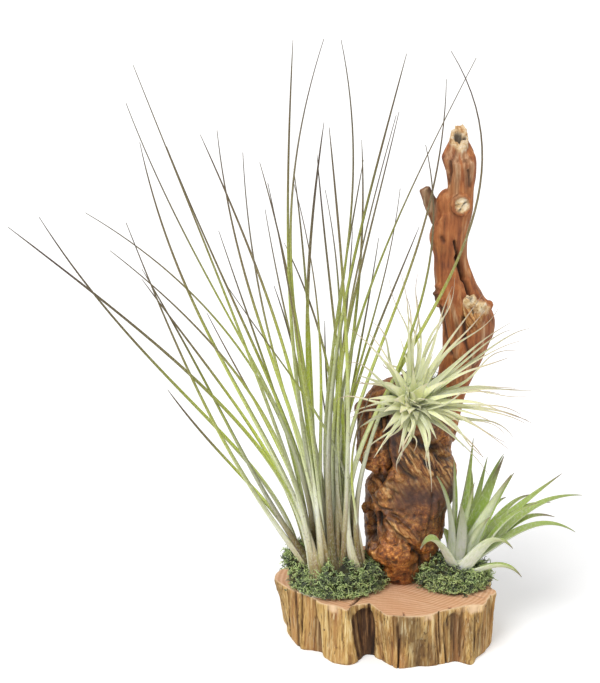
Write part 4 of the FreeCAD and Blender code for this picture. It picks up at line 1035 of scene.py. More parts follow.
def driftwood_skin():
    """Burl, limb, lumps, knot and broken twigs joined into one skin by a voxel remesh."""
    angle = circle(96)[None]
    knot = [limb_place(*KNOT_SHARES[0]), limb_place(*KNOT_SHARES[1]),
            limb_place(*KNOT_SHARES[2]) - [0, KNOT_FORWARD, 0]]
    count = len(TWIG_RADII)
    twig = (limb_place(*TWIG_SHARES) + np.outer(np.linspace(0, TWIG_LENGTH, count), TWIG_WAY)
            + np.outer(np.sin(np.linspace(0, 3.1, count)), TWIG_BEND))
    grids = [burl_point(through(BURL_SHARES, np.linspace(0, len(BURL_SHARES) - 1, 71)), angle),
             limb_point(through(LIMB_SHARES, np.linspace(0, len(LIMB_SHARES) - 1, 85)), angle)]
    grids += [lobe(burl_place(*place), halves, lean) for place, halves, lean in BURL_LOBES]
    grids += [stick(knot, KNOT_RADII), stick(twig, TWIG_RADII)]
    for start, shift, length, way, radii in STUB_SPLINTERS:
        path = limb_place(*start) + [shift, 0, 0] + np.outer(np.linspace(0, length, 6), way)
        grids.append(stick(path, radii))
    for place, shift, halves, lean in LIMB_LOBES:
        grids.append(lobe(limb_place(*place) + [shift, 0, 0], halves, lean))
    grids += [lobe(*bit) for bit in BARK_BITS]

    points, faces = [], []
    count = 0
    for grid in grids:
        some, made = closed_tube(grid)
        points.append(some)
        faces += [[i + count for i in face] for face in made]
        count += len(some)
    mesh = bpy.data.meshes.new("driftwood_blank")
    mesh.from_pydata((np.concatenate(points) * MM).tolist(), [], faces)
    blank = add_object("driftwood_blank", mesh)
    join = blank.modifiers.new("join", "REMESH")
    join.mode = "VOXEL"
    join.voxel_size = VOXEL_SIZE * MM
    soften = blank.modifiers.new("soften", "SMOOTH")
    soften.factor = 0.6
    soften.iterations = 7
    joined = blank.evaluated_get(bpy.context.evaluated_depsgraph_get())
    made = bpy.data.meshes.new_from_object(joined)
    bpy.data.objects.remove(blank)
    return made


def cut_in(points, cuts, weights, push, painted_shade_and_dark_wood, least, full=math.inf):
    """Cuts pressed into the skin where the weights allow, each as deep as exp(-r squared), r
    being the distance in widths. A cut's painted shade is least plus its depth over full."""
    for path, width, depth in cuts:
        cut = bell(seen_distance(points, path), width)
        for weight in weights:
            cut = cut * weight
        push = push - cut * depth
        painted_shade_and_dark_wood = np.maximum(painted_shade_and_dark_wood, cut * min(1.0, least + depth / full))
    return push, painted_shade_and_dark_wood


def carve_burl(points, normals, front, burl):
    """The burl's skin: how far it moves out, the shade painted into its hollows, and its masks."""
    x, y, z = points.T

    def seen_from(place, narrow=1.0):
        return np.hypot((x - place[0]) / narrow, z - place[1])

    # Lumps, wrinkles and cracks, smoother on a dark band that crosses the right half
    wrinkles = np.abs(rough(points, (5.0, 5.0, 7.5), 35, 2))
    fine = (0.7 - 2.2 * wrinkles + 0.7 * rough(points, 2.4, 37)) * burl
    dark_band = bell(z - DARK_BAND_UP, 11.0)
    smooth_band = dark_band * smooth_step(x, 0.0, 10.0)
    fine = fine * (1 - 0.7 * smooth_band)
    push = burl * (1.9 * rough(points, 15.0, 31) + 1.3 * np.abs(rough(points, 7.0, 33))) + 0.75 * fine
    # Painted shade in the low parts of the wrinkles
    painted_shade_and_dark_wood = 0.7 * smooth_step(-fine, 0.05, 0.75)
    # Painted shade in the cuts: the deeper, the darker
    push, painted_shade_and_dark_wood = cut_in(points, BURL_CUTS, (front, burl), push, painted_shade_and_dark_wood, 0.25, 5.0)
    back = smooth_step(normals[:, 1], -0.1, 0.4) * burl
    push, painted_shade_and_dark_wood = cut_in(points, BURL_BACK_CUTS, (back,), push, painted_shade_and_dark_wood, 0.9)

    # The notch at the left, the right side's swelling over a hollow, and pits
    notch = bell(seen_distance(points, BURL_NOTCH), 6.3) * burl
    push -= NOTCH_DEPTH * notch
    right_side = burl * smooth_step(normals[:, 0], 0.2, 0.9)
    push += right_side * (3.0 * bell(z - RIGHT_SWELLING_UP, 12.0)
                          - 2.4 * bell(z - RIGHT_HOLLOW_UP, 11.0))
    pits = burl * smooth_step(-rough(points, 5.0, 41), 0.36, 0.58) * (1 - smooth_band)
    push -= 1.4 * pits
    # Painted shade in the pits
    painted_shade_and_dark_wood = np.maximum(painted_shade_and_dark_wood, 0.75 * pits)

    # Splintered band that runs down to the right, and smooth dark wood beside and below it
    slant = np.stack([x * 0.5 - z * 0.86, y, x * 0.86 + z * 0.5], -1)
    level = SPLINTER_BAND[1] - 0.25 * (x - SPLINTER_BAND[0])
    band = bell(z - level, 13.0) * smooth_step(x, 5.0, 10.0) * front * burl
    strands = rough(slant, (22.0, 4.0, 2.0), 43, 2)
    push += band * (3.2 * strands + 0.9 * rough(slant, (9.0, 1.6, 1.2), 47, 2))
    # Painted shade between the strands
    painted_shade_and_dark_wood = np.maximum(painted_shade_and_dark_wood, band * smooth_step(-strands, 0.12, 0.45))
    flow = bell(seen_distance(points, BURL_FLOW), 3.6) * front * burl
    dusk = np.maximum(dark_band * smooth_step(x, -2.0, 8.0) * burl, flow)
    push = push * (1 - 0.6 * flow) - 1.0 * flow

    # Crumbly knob in the middle, and the slanting cut face under it
    knob = bell(seen_from(KNOB_PLACE), 9.0) * front * burl
    crumble = rough(points, 2.4, 53, 2)
    push += knob * 1.7 * crumble
    # Painted shade in the gaps between crumbs
    painted_shade_and_dark_wood = np.maximum(painted_shade_and_dark_wood, 0.8 * knob * smooth_step(-crumble, 0.15, 0.5))
    right, above = x - CUT_FACE_PLACE[0], z - CUT_FACE_PLACE[1]
    face = bell(np.hypot(right * 0.82 - above * 0.57, (right * 0.57 + above * 0.82) * 3.0), 14.0)
    face = smooth_step(face, 0.30, 0.55) * front * burl
    push = push * (1 - 0.8 * face) - 1.1 * face

    # Amber wood: low in front, at the upper left, in streaks at the right and in clouds; on the
    # ridges of the wrinkles it is a painted highlight
    low = bell(seen_from(LOW_AMBER_PLACE, 1.5), 11.0) * front * burl
    ear = bell(seen_from(EAR_AMBER_PLACE, 0.42), 26.0) * front * burl
    streaks = bell(seen_from(AMBER_STREAKS_PLACE, 0.5), 16.0)
    streaks = streaks * smooth_step(rough(points, (2.2, 9.0, 16.0), 55, 2), 0.0, 0.3)
    clouds = 0.8 * burl * smooth_step(rough(points, 13.0, 97, 2), 0.15, 0.5)
    amber_and_highlight = low * 1.1 + ear * 0.7 + streaks + 0.6 * smooth_step(fine, 0.35, 0.8) + clouds
    fibre = band * 1.2 + face + knob * 0.85
    return push, painted_shade_and_dark_wood, {"fibre": fibre, "dusk": dusk * 0.95, "amber_and_highlight": amber_and_highlight}


def carve_limb(points, normals, front, limb, push, painted_shade_and_dark_wood):
    """The limb's skin, on top of what the burl's carving gave: lengthwise fibres, cracks, the
    knot, the hollow end, the splintered stub, bark and twig, with shade painted into cracks,
    holes and grooves."""
    x, y, z = points.T
    rows = through(LIMB_SHARES, np.linspace(0, len(LIMB_SHARES) - 1, 141))
    share = (z - SLAB_THICKNESS) / LIMB_HEIGHT
    middle_x = FOOT_X + LIMB_OFFSET * np.interp(share, rows[:, 0], rows[:, 1])
    straight = np.stack([x - middle_x, y, z], -1)
    push += limb * (0.9 * rough(points, 17.0, 61, 2) + 0.75 * rough(straight, (3.4, 3.4, 34.0), 63, 2)
                    + 0.4 * rough(straight, (1.6, 1.6, 17.0), 67, 2))
    silver = smooth_step(rough(straight, (2.6, 5.0, 42.0), 69, 2), -0.25, 0.30)
    worn = limb * bell(straight[:, 0] + 1.5, 5.5) * smooth_step(z, *SILVER_UP) * silver * 0.8
    bleached = smooth_step(rough(straight, (4.0, 4.0, 60.0), 75, 2), 0.1, 0.45)
    worn = np.maximum(worn, 0.45 * limb * bleached)
    # Painted shade in the cracks
    push, painted_shade_and_dark_wood = cut_in(points, LIMB_CUTS, (front, limb), push, painted_shade_and_dark_wood, 0.3, 4.0)
    back = smooth_step(normals[:, 1], 0.0, 0.4)
    push, painted_shade_and_dark_wood = cut_in(points, LIMB_BACK_CUTS, (back, limb), push, painted_shade_and_dark_wood, 1.0)

    # Knot: a raised ring round a rough, sunken face; painted shadow round the ring and painted
    # shade in the face's cracks
    knot = np.hypot((x - KNOT_PLACE[0]) * 1.12, z - KNOT_PLACE[1]) + 0.9 * rough(points, 4.0, 71, 2)
    on_knot = front * (y < 0.0) * smooth_step(-knot, -8.5, -7.0)
    face_of_knot = on_knot * smooth_step(-knot, -5.4, -4.6)
    push += on_knot * (1.1 * bell(knot - 6.4, 1.1) - 1.0 * smooth_step(-knot, -5.2, -4.4))
    push += face_of_knot * 0.9 * rough(points, 1.8, 72, 2)
    cracks = smooth_step(-np.abs(rough(points, 3.0, 73, 2)), -0.12, -0.02)
    painted_shade_and_dark_wood = np.maximum(painted_shade_and_dark_wood, 0.75 * on_knot * bell(knot - 7.9, 0.6))
    painted_shade_and_dark_wood = np.maximum(painted_shade_and_dark_wood, 0.85 * face_of_knot * cracks)

    # Two swellings at the left, and the sawn end with its two holes, painted dark as shade
    left = smooth_step(-normals[:, 0], 0.2, 0.9)
    push += limb * sum(high * bell(z - up, tall) * left for up, tall, high in LEFT_SWELLINGS)
    end = smooth_step(z + 2.5 * rough(straight, (2.0, 2.0, 30.0), 77, 2), *SAWN_END_UP) * limb
    ragged = 1.6 * rough(points, 2.6, 81, 2)
    holes = np.max([bell(np.hypot(x - place[0], y - place[1]) + ragged, width)
                    for place, width in END_HOLES], axis=0)
    holes = holes * smooth_step(normals[:, 2], 0.2, 0.7)
    push += end * (1.6 * rough(points, (1.9, 1.9, 6.0), 79, 2) - 5.0 * holes)
    painted_shade_and_dark_wood = np.maximum(painted_shade_and_dark_wood, 0.9 * end * smooth_step(holes, 0.2, 0.6))

    # Stub with pale crumbs on top and painted shade in its grooves, dark bark at the left, and
    # the twig: dark wood, darker on its right side as painted shade
    stub = smooth_step(z, *STUB_UP) * (1 - smooth_step(z, *STUB_STOP_UP)) * smooth_step(-y, 4.0, 9.0)
    stub = stub * smooth_step(x, *STUB_ACROSS)
    push += stub * (1.3 * rough(straight, (1.9, 1.9, 20.0), 83, 2) + 0.5 * rough(points, 1.6, 87, 2))
    grooves = smooth_step(-rough(straight, (2.4, 2.4, 14.0), 89, 2), 0.30, 0.6)
    painted_shade_and_dark_wood = np.maximum(painted_shade_and_dark_wood, stub * grooves)
    crumbs = stub * smooth_step(z + 0.5 * (x - 58.0) + 3.0 * rough(points, 2.0, 91, 2), *CRUMBS_UP)
    bark = limb * bell(z - BARK_UP, 9.0) * (1 - smooth_step(x, *BARK_STOP_ACROSS))
    painted_shade_and_dark_wood = np.maximum(painted_shade_and_dark_wood, 0.8 * bark)
    twig = limb * (1 - smooth_step(x, *TWIG_STOP_ACROSS)) * smooth_step(z, *TWIG_UP)
    painted_shade_and_dark_wood = np.maximum(painted_shade_and_dark_wood, twig * (0.35 + 0.4 * smooth_step(normals[:, 0], -0.1, 0.6)))
    return push, painted_shade_and_dark_wood, {"fibre": 0.85 * limb * stub * (1 - crumbs), "worn": worn + 0.35 * twig,
                          "pale": 0.75 * end + face_of_knot + crumbs}


def carve_driftwood(mesh):
    """Lumps, fibres, cracks and hollows pushed in or out along the skin, and the masks that
    colour them. Places are in millimetres, as seen from the front."""
    flat = np.empty(len(mesh.vertices) * 3, np.float32)
    mesh.vertices.foreach_get("co", flat)
    points = flat.reshape(-1, 3).astype(float) / MM
    mesh.vertex_normals.foreach_get("vector", flat)
    normals = flat.reshape(-1, 3).astype(float)
    x, y, z = points.T
    front = smooth_step(-normals[:, 1], -0.15, 0.35)
    shoulder = smooth_step(z, *LIMB_SHOULDER_UP) * smooth_step(x, *LIMB_SHOULDER_ACROSS)
    limb = np.maximum(smooth_step(z, *LIMB_UP), shoulder)
    push, painted_shade_and_dark_wood, burl_masks = carve_burl(points, normals, front, 1 - limb)
    push, painted_shade_and_dark_wood, limb_masks = carve_limb(points, normals, front, limb, push, painted_shade_and_dark_wood)
    masks = {"painted_shade_and_dark_wood": painted_shade_and_dark_wood, "fibre": burl_masks["fibre"] + limb_masks["fibre"],
             "dusk": burl_masks["dusk"], "amber_and_highlight": burl_masks["amber_and_highlight"], "worn": limb_masks["worn"]}
    masks = {name: np.clip(values, 0, 1) for name, values in masks.items()}
    masks["pale"] = np.clip(limb_masks["pale"], 0, 1) * limb
    masks["limb"] = limb

    # Nothing moves into the slab. The limb's end narrows round its own axis and tips forward.
    push = push * smooth_step(z, SLAB_THICKNESS - 0.5, SLAB_THICKNESS + 3.0)
    points = points + normals * push[:, None]
    neck = 1 - END_NARROWING * smooth_step(z, *NARROWING_UP)
    for axis, middle in enumerate(END_MIDDLE):
        points[:, axis] = middle + (points[:, axis] - middle) * neck
    forward = np.clip(0.5 - (y - END_MIDDLE[1]) / 20.0, 0, 1)
    points[:, 2] -= END_TIPPING * smooth_step(z, *TIPPING_UP) * forward
    mesh.vertices.foreach_set("co", (points * MM).astype(np.float32).ravel())
    give_masks(mesh, masks)
    mesh.polygons.foreach_set("use_smooth", np.ones(len(mesh.polygons), bool))
    mesh.update()


def make_driftwood():
    mesh = driftwood_skin()
    carve_driftwood(mesh)
    mesh.materials.clear()
    mesh.materials.append(driftwood_material())
    wood = add_object("driftwood_root_and_limb", mesh)
    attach(wood, "root")
    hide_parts("driftwood")


make_driftwood()


# Leaf colours from base to tip, on the outside and on the inner face
RUSH_OUTSIDE = [
    (0.00, "#5C421E"), (0.05, "#8A6C44"), (0.11, "#C4B694"), (0.21, "#EEEFDC"), (0.34, "#E2E8B8"),
    (0.50, "#CCD86A"), (0.62, "#A8AE48"), (0.76, "#7A6848"), (1.00, "#4A3634"),
]
RUSH_INSIDE = [
    (0.00, "#4C3619"), (0.05, "#6C5430"), (0.11, "#9A9466"), (0.27, "#D6DEA8"), (0.46, "#C8D84E"),
    (0.62, "#A4AE3E"), (0.76, "#6E6040"), (1.00, "#463436"),
]
TOP_OUTSIDE = [
    (0.00, "#F2F3E4"), (0.12, "#F0F2D8"), (0.30, "#EDF0C8"), (0.55, "#EBEBC8"), (0.78, "#DECDB2"),
    (1.00, "#A4887A"),
]
TOP_INSIDE = [
    (0.00, "#F0F2DC"), (0.12, "#ECF0CC"), (0.30, "#EEF0BE"), (0.55, "#EEECC0"), (0.78, "#D8C8AA"),
    (1.00, "#9C8272"),
]
RIGHT_OUTSIDE = [
    (0.00, "#F4F3EA"), (0.20, "#F0F1E6"), (0.42, "#E8ECD6"), (0.64, "#DAE2BA"), (0.86, "#BEC594"),
    (1.00, "#85775E"),
]
RIGHT_INSIDE = [
    (0.00, "#DEE4C4"), (0.20, "#D0E09C"), (0.42, "#C4DA78"), (0.64, "#B8D06C"), (0.86, "#A2B266"),
    (1.00, "#786C56"),
]

# A rush leaf climbs its bulb from and to these shares of the bulb's length, which take up the
# first share of the leaf's colours and widths
RUSH_CLIMB = (0.16, 0.66)
RUSH_SHEATH_SHARE = 0.05

# The top plant's heart lies to the lower left of its seat's axis, and its young leaves lean
# further that way
TOP_HEART_LEAN = np.array([-0.35, 0.0, -0.45])
TOP_HEART_SHIFT = np.array([-9.0, -3.0, -9.0])
TOP_YOUNG_COUNT = 34
TOP_YOUNG_SHORTEST = 16.0
TOP_YOUNG_GROWTH = 26.0


# Leaves
def blades(paths, side, wide, thick, curl, twist, around):
    """Leaves as grids of points (leaf, row, around). Each section is an oval of half sizes wide
    and thick, raised by curl times (cos squared less a half) of the angle round it, so that its
    edges stand up. It is carried along the leaf's path with its width along side, turned by twist
    as it goes."""
    ways = unit(np.gradient(paths, axis=1))
    across = unit(side[:, None] - ways * (ways * side[:, None]).sum(-1, keepdims=True))
    inner = np.cross(across, ways)
    cos, sin = np.cos(twist)[..., None], np.sin(twist)[..., None]
    turned = across * cos + inner * sin
    inner = inner * cos - across * sin
    angle = circle(around)
    out = np.cos(angle) * wide[..., None]
    rise = -np.sin(angle) * thick[..., None] + (np.cos(angle) ** 2 - 0.5) * curl[..., None]
    return paths[:, :, None] + turned[:, :, None] * out[..., None] + inner[:, :, None] * rise[..., None]


def leaf_piece(name, grid, along, seed, material, node):
    """All leaves of a node as one piece: each a closed tube with a pole at its base and tip."""
    leaves, rows, around = grid.shape[:3]
    ends = np.stack([grid[:, 0].mean(1), grid[:, -1].mean(1)], 1)
    points = np.concatenate([grid.reshape(leaves, -1, 3), ends], 1)
    size = points.shape[1]
    faces = repeated(tube_faces(rows, around, 0, rows * around), size, leaves)
    tone = np.random.default_rng(seed).uniform(0, 1, leaves)
    run = np.concatenate([np.repeat(along, around), [along[0], along[-1]]])
    angle = circle(around)
    spread = np.append(np.tile(np.cos(angle), rows), [0, 0])
    inner = np.append(np.tile(smooth_step(-np.sin(angle), -0.35, 0.35), rows), [0, 0])
    masks = {"along": np.tile(run, leaves), "across": np.tile(spread, leaves),
             "inner": np.tile(inner, leaves), "tone": np.repeat(tone, size)}
    piece = make_piece(name, points.reshape(-1, 3), faces, material, masks)
    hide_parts(node)


def curves(ends, shares):
    """Cubic curves from four control points each, read at shares of their length."""
    a, b, c, d = (ends[:, k, None] for k in range(4))
    t = shares[None, :, None]
    r = 1 - t
    return a * r ** 3 + 3 * b * r ** 2 * t + 3 * c * r * t ** 2 + d * t ** 3


def rush_ends(bulb, rows, turns):
    """A bulb's seat, the ways round it that its leaves stand, and the leaves' control points,
    from beside the bulb to their tips."""
    seat = np.array([RUSH_X + bulb[0] * RUSH_CLUMP_HALF_WIDTH, RUSH_Y + bulb[1] * RUSH_CLUMP_HALF_DEPTH,
                     SLAB_THICKNESS + GLUE_THICKNESS])
    out = np.stack([np.cos(turns), np.sin(turns), 0 * turns], -1)
    start = seat + UP * RUSH_BULB_LENGTH * 0.70 + out * RUSH_BULB_RADIUS * 1.03
    reach, spread, height, base, lean = rows.T
    level = SLAB_THICKNESS + GLUE_THICKNESS + RUSH_BULB_LENGTH * 0.6
    tip = np.stack([RUSH_X + reach * RUSH_REACH, RUSH_Y + spread * RUSH_SPREAD,
                    level + height * RUSH_HEIGHT], -1)
    chord = np.linalg.norm(tip - start, axis=1)
    drift = (tip[:, 1] - start[:, 1]) / chord
    base, lean = np.radians(base), np.radians(lean)
    base_way = unit(np.stack([np.sin(base), drift / 3, np.cos(base)], -1))
    tip_way = unit(np.stack([np.sin(lean), drift, np.cos(lean)], -1))
    first = start + base_way * (chord * (0.40 - 0.15 * np.abs(reach)))[:, None]
    second = tip - tip_way * (chord * (0.40 + 0.08 * np.abs(reach)))[:, None]
    return seat, out, np.stack([start, first, second, tip], 1)


def make_rush():
    """Six bulbs of rush leaves. Each leaf first climbs its bulb as a wide sheath, then follows
    its curve; its width falls from 7.6 mm at the sheath to 0.4 mm at the tip."""
    material = leaf_material("silvery rush leaf", RUSH_OUTSIDE, RUSH_INSIDE, "#A8AE48",
                             0.45, 1100.0, 0.55, 0.45)
    climb = np.linspace(*RUSH_CLIMB, 8)
    shares = np.linspace(0.0, 1.0, 44)
    along = np.concatenate([climb / RUSH_CLIMB[1] * RUSH_SHEATH_SHARE,
                            RUSH_SHEATH_SHARE + (1 - RUSH_SHEATH_SHARE) * shares])
    wide = np.interp(along, [0, 0.04, 0.09, 0.18, 0.32, 0.6, 0.86, 0.96, 1.0],
                     [3.2, 3.8, 3.0, 2.15, 1.65, 1.12, 0.76, 0.48, 0.19])
    thick = np.interp(along, [0, 0.1, 0.5, 1.0], [0.45, 0.7, 0.75, 0.22])
    curl = np.interp(along, [0, 0.05, 0.2, 0.5, 1.0], [1.9, 2.1, 1.7, 1.0, 0.1])
    girth = np.interp(climb, [0, 0.22, 0.45, 0.75, 0.93], [0.50, 0.90, 1.0, 0.87, 0.56])
    girth = girth * RUSH_BULB_RADIUS
    for index, (bulb, table) in enumerate(zip(RUSH_BULB_SHARES, RUSH_LEAF_SHARES)):
        count = len(table)
        turns = math.pi + 2 * math.pi * np.arange(count) / count
        seat, out, ends = rush_ends(bulb, np.array(table, float), turns)
        layer = (0.25 + 0.9 * (np.arange(count) % 3) / 2)[:, None]
        sheath = (seat + UP * (climb * RUSH_BULB_LENGTH)[None, :, None]
                  + out[:, None] * (girth[None] + layer)[..., None])
        blade = curves(ends, shares) + out[:, None] * (layer * (1 - shares) ** 2)[..., None]
        paths = np.concatenate([sheath, blade], 1)
        side = np.stack([np.sin(turns), -np.cos(turns), 0 * turns], -1)
        rng = np.random.default_rng(100 + index)
        twist = rng.uniform(-1.2, 1.2, count)[:, None] * np.clip(along - 0.1, 0, 1)[None]
        size = rng.uniform(0.88, 1.12, count)[:, None]
        grid = blades(paths, side, wide * size, thick, curl * size, twist, 10)
        number = str(index + 1)
        leaf_piece("rush_" + number, grid, along, 200 + index, material,
                   "rush_leaves_" + number)


def arched(start, tip, axis, rise, droop):
    """Control points of leaves that rise along the axis and droop to their tips."""
    chord = tip - start
    length = np.linalg.norm(chord, axis=1, keepdims=True)
    way = chord / length
    base_way = unit(way + axis * rise)
    tip_way = unit(way - UP * droop - axis * rise / 2)
    return np.stack([start, start + base_way * length * 0.40, tip - tip_way * length * 0.40, tip], 1)


def rosette(heart, axis, tips, radius, sunk, rise, droop, shares):
    """Paths of leaves that leave a rosette's heart on four tiers, from sunk below its surface,
    and the ways that their widths lie."""
    ways = tips - heart
    tiers = ROSETTE_TIERS[np.arange(len(tips)) % len(ROSETTE_TIERS)]
    outward = unit(ways - axis * (ways @ axis)[:, None])
    starts = (heart + outward * (radius * np.sin(tiers))[:, None]
              + axis * (radius * np.cos(tiers))[:, None])
    starts = starts - unit(starts - heart) * sunk
    paths = curves(arched(starts, tips, axis, rise, droop), shares)
    return paths, unit(np.cross(tips - starts, axis))


def golden_ways(axis, count, first_tilt, more_tilt):
    """Directions round an axis, each a golden angle on from the last and tilted a little more."""
    side = unit(np.cross(axis, UP))
    other = np.cross(side, axis)
    share = (np.arange(count) + 1) / count
    turn = GOLDEN_ANGLE * np.arange(count)
    tilt = np.radians(first_tilt + more_tilt * share)
    round_ways = side * np.cos(turn)[:, None] + other * np.sin(turn)[:, None]
    return round_ways * np.sin(tilt)[:, None] + axis * np.cos(tilt)[:, None], share


def top_seat():
    """The spot on the front of the burl, near its top, that the top plant is glued to."""
    row = np.array([BURL_SHARES[-3]], float)
    return burl_point(row, np.array([[math.radians(TOP_SEAT_TURN)]]))[0, 0]


def make_top_plant():
    """Fine leaves: those whose tips the photograph shows, one more between every second pair of
    them, and young ones round the axis."""
    material = leaf_material("fine silvery leaf", TOP_OUTSIDE, TOP_INSIDE, "#C8D48C", 0.7, 900.0, 0.2)
    axis = unit(TOP_AXIS)
    middle = top_seat() + axis * (GLUE_THICKNESS + TOP_BULB_LENGTH / 2)
    heart = middle + TOP_HEART_SHIFT
    spread = np.array(TOP_TIP_SHARES)
    between_tips = 0.44 * (spread + np.roll(spread, -1, 0))[::2]
    tips = middle + np.concatenate([spread, between_tips]) * TOP_REACH
    shares = np.linspace(0, 1, 34)
    paths, side = rosette(heart, axis, tips, TOP_BULB_RADIUS + 0.75, 2.0, 0.55, 0.15, shares)
    rng = np.random.default_rng(7)
    wide = np.interp(shares, [0, 0.08, 0.2, 0.4, 0.65, 0.85, 1.0],
                     [2.6, 2.5, 1.9, 1.1, 0.62, 0.36, 0.12])
    thick = np.interp(shares, [0, 0.3, 1.0], [0.6, 0.5, 0.12])
    curl = np.interp(shares, [0, 0.2, 0.6, 1.0], [0.9, 0.9, 0.4, 0.02])
    count = len(tips)
    size = rng.uniform(0.9, 1.15, count)[:, None]
    twist = rng.uniform(-1.6, 1.6, count)[:, None] * np.clip(shares - 0.15, 0, 1)[None]
    wave = rng.uniform(-1, 1, (count, 3))
    paths = paths + wave[:, None] * (6.5 * shares * np.sin(5.6 * shares))[None, :, None]
    grid = blades(paths, side, wide * size, thick, curl * size, twist, 8)
    lower = np.arange(count) % 4 < 2
    for ring, seed, chosen in (("lower", 11, lower), ("middle", 12, ~lower)):
        leaf_piece("top_plant_" + ring, grid[chosen], shares, seed, material,
                   "top_leaves_" + ring)

    # Young leaves: the first are short and plump, the last as narrow as the rest
    count = TOP_YOUNG_COUNT
    ways, share = golden_ways(unit(axis + TOP_HEART_LEAN), count, 6.0, 80.0)
    starts = heart + ways * (TOP_BULB_RADIUS - 3.5)
    tips = starts + ways * (TOP_YOUNG_SHORTEST + TOP_YOUNG_GROWTH * share ** 1.4)[:, None]
    paths = curves(arched(starts, tips, axis, 0.55, 0.15), shares)
    side = unit(np.cross(ways, axis))
    plump = np.interp(shares, [0, 0.15, 0.45, 0.75, 1.0], [4.2, 5.6, 4.6, 2.2, 0.2])
    blend = share[:, None] ** 1.4
    wide = plump * (1 - blend) + wide * blend
    twist = rng.uniform(-0.8, 0.8, count)[:, None] * shares[None]
    grid = blades(paths, side, wide, 1.2 * thick, 1.4 * curl, twist, 8)
    leaf_piece("top_plant_heart", grid, 0.72 * shares, 13, material, "top_leaves_heart")


def make_right_plant():
    """Broad, channelled leaves, narrower the further they reach to the right."""
    material = leaf_material("broad silver-green leaf", RIGHT_OUTSIDE, RIGHT_INSIDE, "#B0C274",
                             0.65, 620.0, 0.12)
    axis = unit(RIGHT_AXIS)
    heart = RIGHT_SEAT + UP * (RIGHT_BULB_LENGTH / 2)
    table = np.array(RIGHT_TIP_SHARES)
    tips = RIGHT_SEAT + table[:, :3] * RIGHT_REACH
    shares = np.linspace(0, 1, 36)
    paths, side = rosette(heart, axis, tips, RIGHT_BULB_RADIUS + 1.1, 3.5, 0.45, table[:, 3:4], shares)
    count = len(tips)
    rng = np.random.default_rng(19)
    wide = np.interp(shares, [0, 0.10, 0.28, 0.50, 0.70, 0.87, 0.96, 1.0],
                     [6.6, 7.2, 6.2, 4.6, 3.0, 1.5, 0.7, 0.25])
    thick = np.interp(shares, [0, 0.3, 0.8, 1.0], [1.1, 0.9, 0.5, 0.15])
    curl = np.interp(shares, [0, 0.2, 0.5, 0.8, 1.0], [3.6, 3.8, 3.4, 2.0, 0.2])
    outer = np.arange(count) < RIGHT_OUTER_COUNT
    size = rng.uniform(0.9, 1.1, count)[:, None]
    twist = rng.uniform(-0.5, 0.5, count)[:, None] * shares[None]
    size = size * np.interp(table[:, 0], [0.0, 0.8], [1.08, 0.70])[:, None]
    size = size * np.where(outer, 1.0, 0.74)[:, None]
    grid = blades(paths, side, wide * size, thick, curl * size, twist, 14)
    for ring, seed, chosen in (("outer", 21, outer), ("inner", 22, ~outer)):
        leaf_piece("right_plant_" + ring, grid[chosen], shares, seed, material,
                   "right_leaves_" + ring)


make_rush()
make_top_plant()
make_right_plant()


# Moss colours at a strand's root, middle and tip; the near-black roots and the whole bed are
# painted shade deep in the clump
MOSS_BED_COLOURS = ("#0B120A", "#141F10", "#22301A")
MOSS_STRAND_COLOURS = ("#080D07", "#4F8A3A", "#D4ECA4")
MOSS_BED_AROUND = 120
MOSS_BED_ROWS = 26

# How far a bed lies inside its clump's outline and below its top
MOSS_BED_INSET = 2.0
MOSS_BED_DROP = 3.0

# How far inside the slab's edge the bed, the sprigs and those at the clump's foot stay
BED_MARGIN = 5.0
SPRIG_MARGIN = 6.0
FOOT_MARGIN = 2.6

# Clumps on the slab: middle, half width and half depth, height, moss banked up in places
# (across, back, half width, half depth, rise), the outline's turn in degrees, sprigs and seed
MOSS_CLUMPS = {
    "moss_left": ((-35.0, -7.0), (38.0, 27.0), 22.0,
                  [(0.0, -16.7, 22.8, 9.2, 9.0), (-29.0, 2.0, 14.0, 13.0, 15.0)], 23, 1180, 300),
    "moss_right": ((51.0, -3.0), (28.5, 23.0), 17.0,
                   [(0.0, -14.3, 17.1, 7.8, 5.0), (-17.0, 0.0, 9.0, 10.0, 8.0)], 57, 800, 400),
}

# The cushion under the top plant: half sizes of its bed and of the egg that its sprigs root on
TOP_MOSS_HALVES = (15.5, 8.0, 15.5)
TOP_MOSS_ROOT_HALVES = (14.5, 7.5, 14.5)
TOP_MOSS_SPRIGS = 320

# Sprigs: a length, of which each takes 0.6 to 1.25, and a radius
SLAB_SPRIG = (5.2, 0.48)
TOP_SPRIG = (6.0, 0.42)


# Moss
def mound_surface(centre, halves, height, start_turn, angle, level):
    """A clump's skin at an angle and a level, both arrays: the outline's radius times the
    level's spread, at the level's height."""
    profile = through(MOSS_LEVEL_SHARES, level * (len(MOSS_LEVEL_SHARES) - 1))
    outline = 0.45 + 0.55 * through_round(np.array(MOSS_OUTLINE_SHARES)[:, None], 360)[:, 0]
    radius = np.interp((angle - start_turn) % (2 * math.pi), np.linspace(0, 2 * math.pi, 361),
                       np.append(outline, outline[0]))
    reach = radius * np.clip(profile[:, 1], 0, 2)
    return np.stack([centre[0] + halves[0] * reach * np.cos(angle),
                     centre[1] + halves[1] * reach * np.sin(angle),
                     centre[2] + height * np.clip(profile[:, 0], 0, 2)], -1)


def heaped(points, centre, heaps):
    """Moss banked up in round rises: each is high times exp(-r squared), r counted in the rise's
    own half lengths, and fades to nothing at the clump's foot."""
    rise = np.zeros(len(points))
    for across, back, wide, deep, high in heaps:
        away = (((points[:, 0] - centre[0] - across) / wide) ** 2
                + ((points[:, 1] - centre[1] - back) / deep) ** 2)
        rise = np.maximum(rise, high * np.exp(-away))
    rise = rise * smooth_step(points[:, 2] - centre[2], 0.0, 4.0)
    return points + rise[:, None] * UP


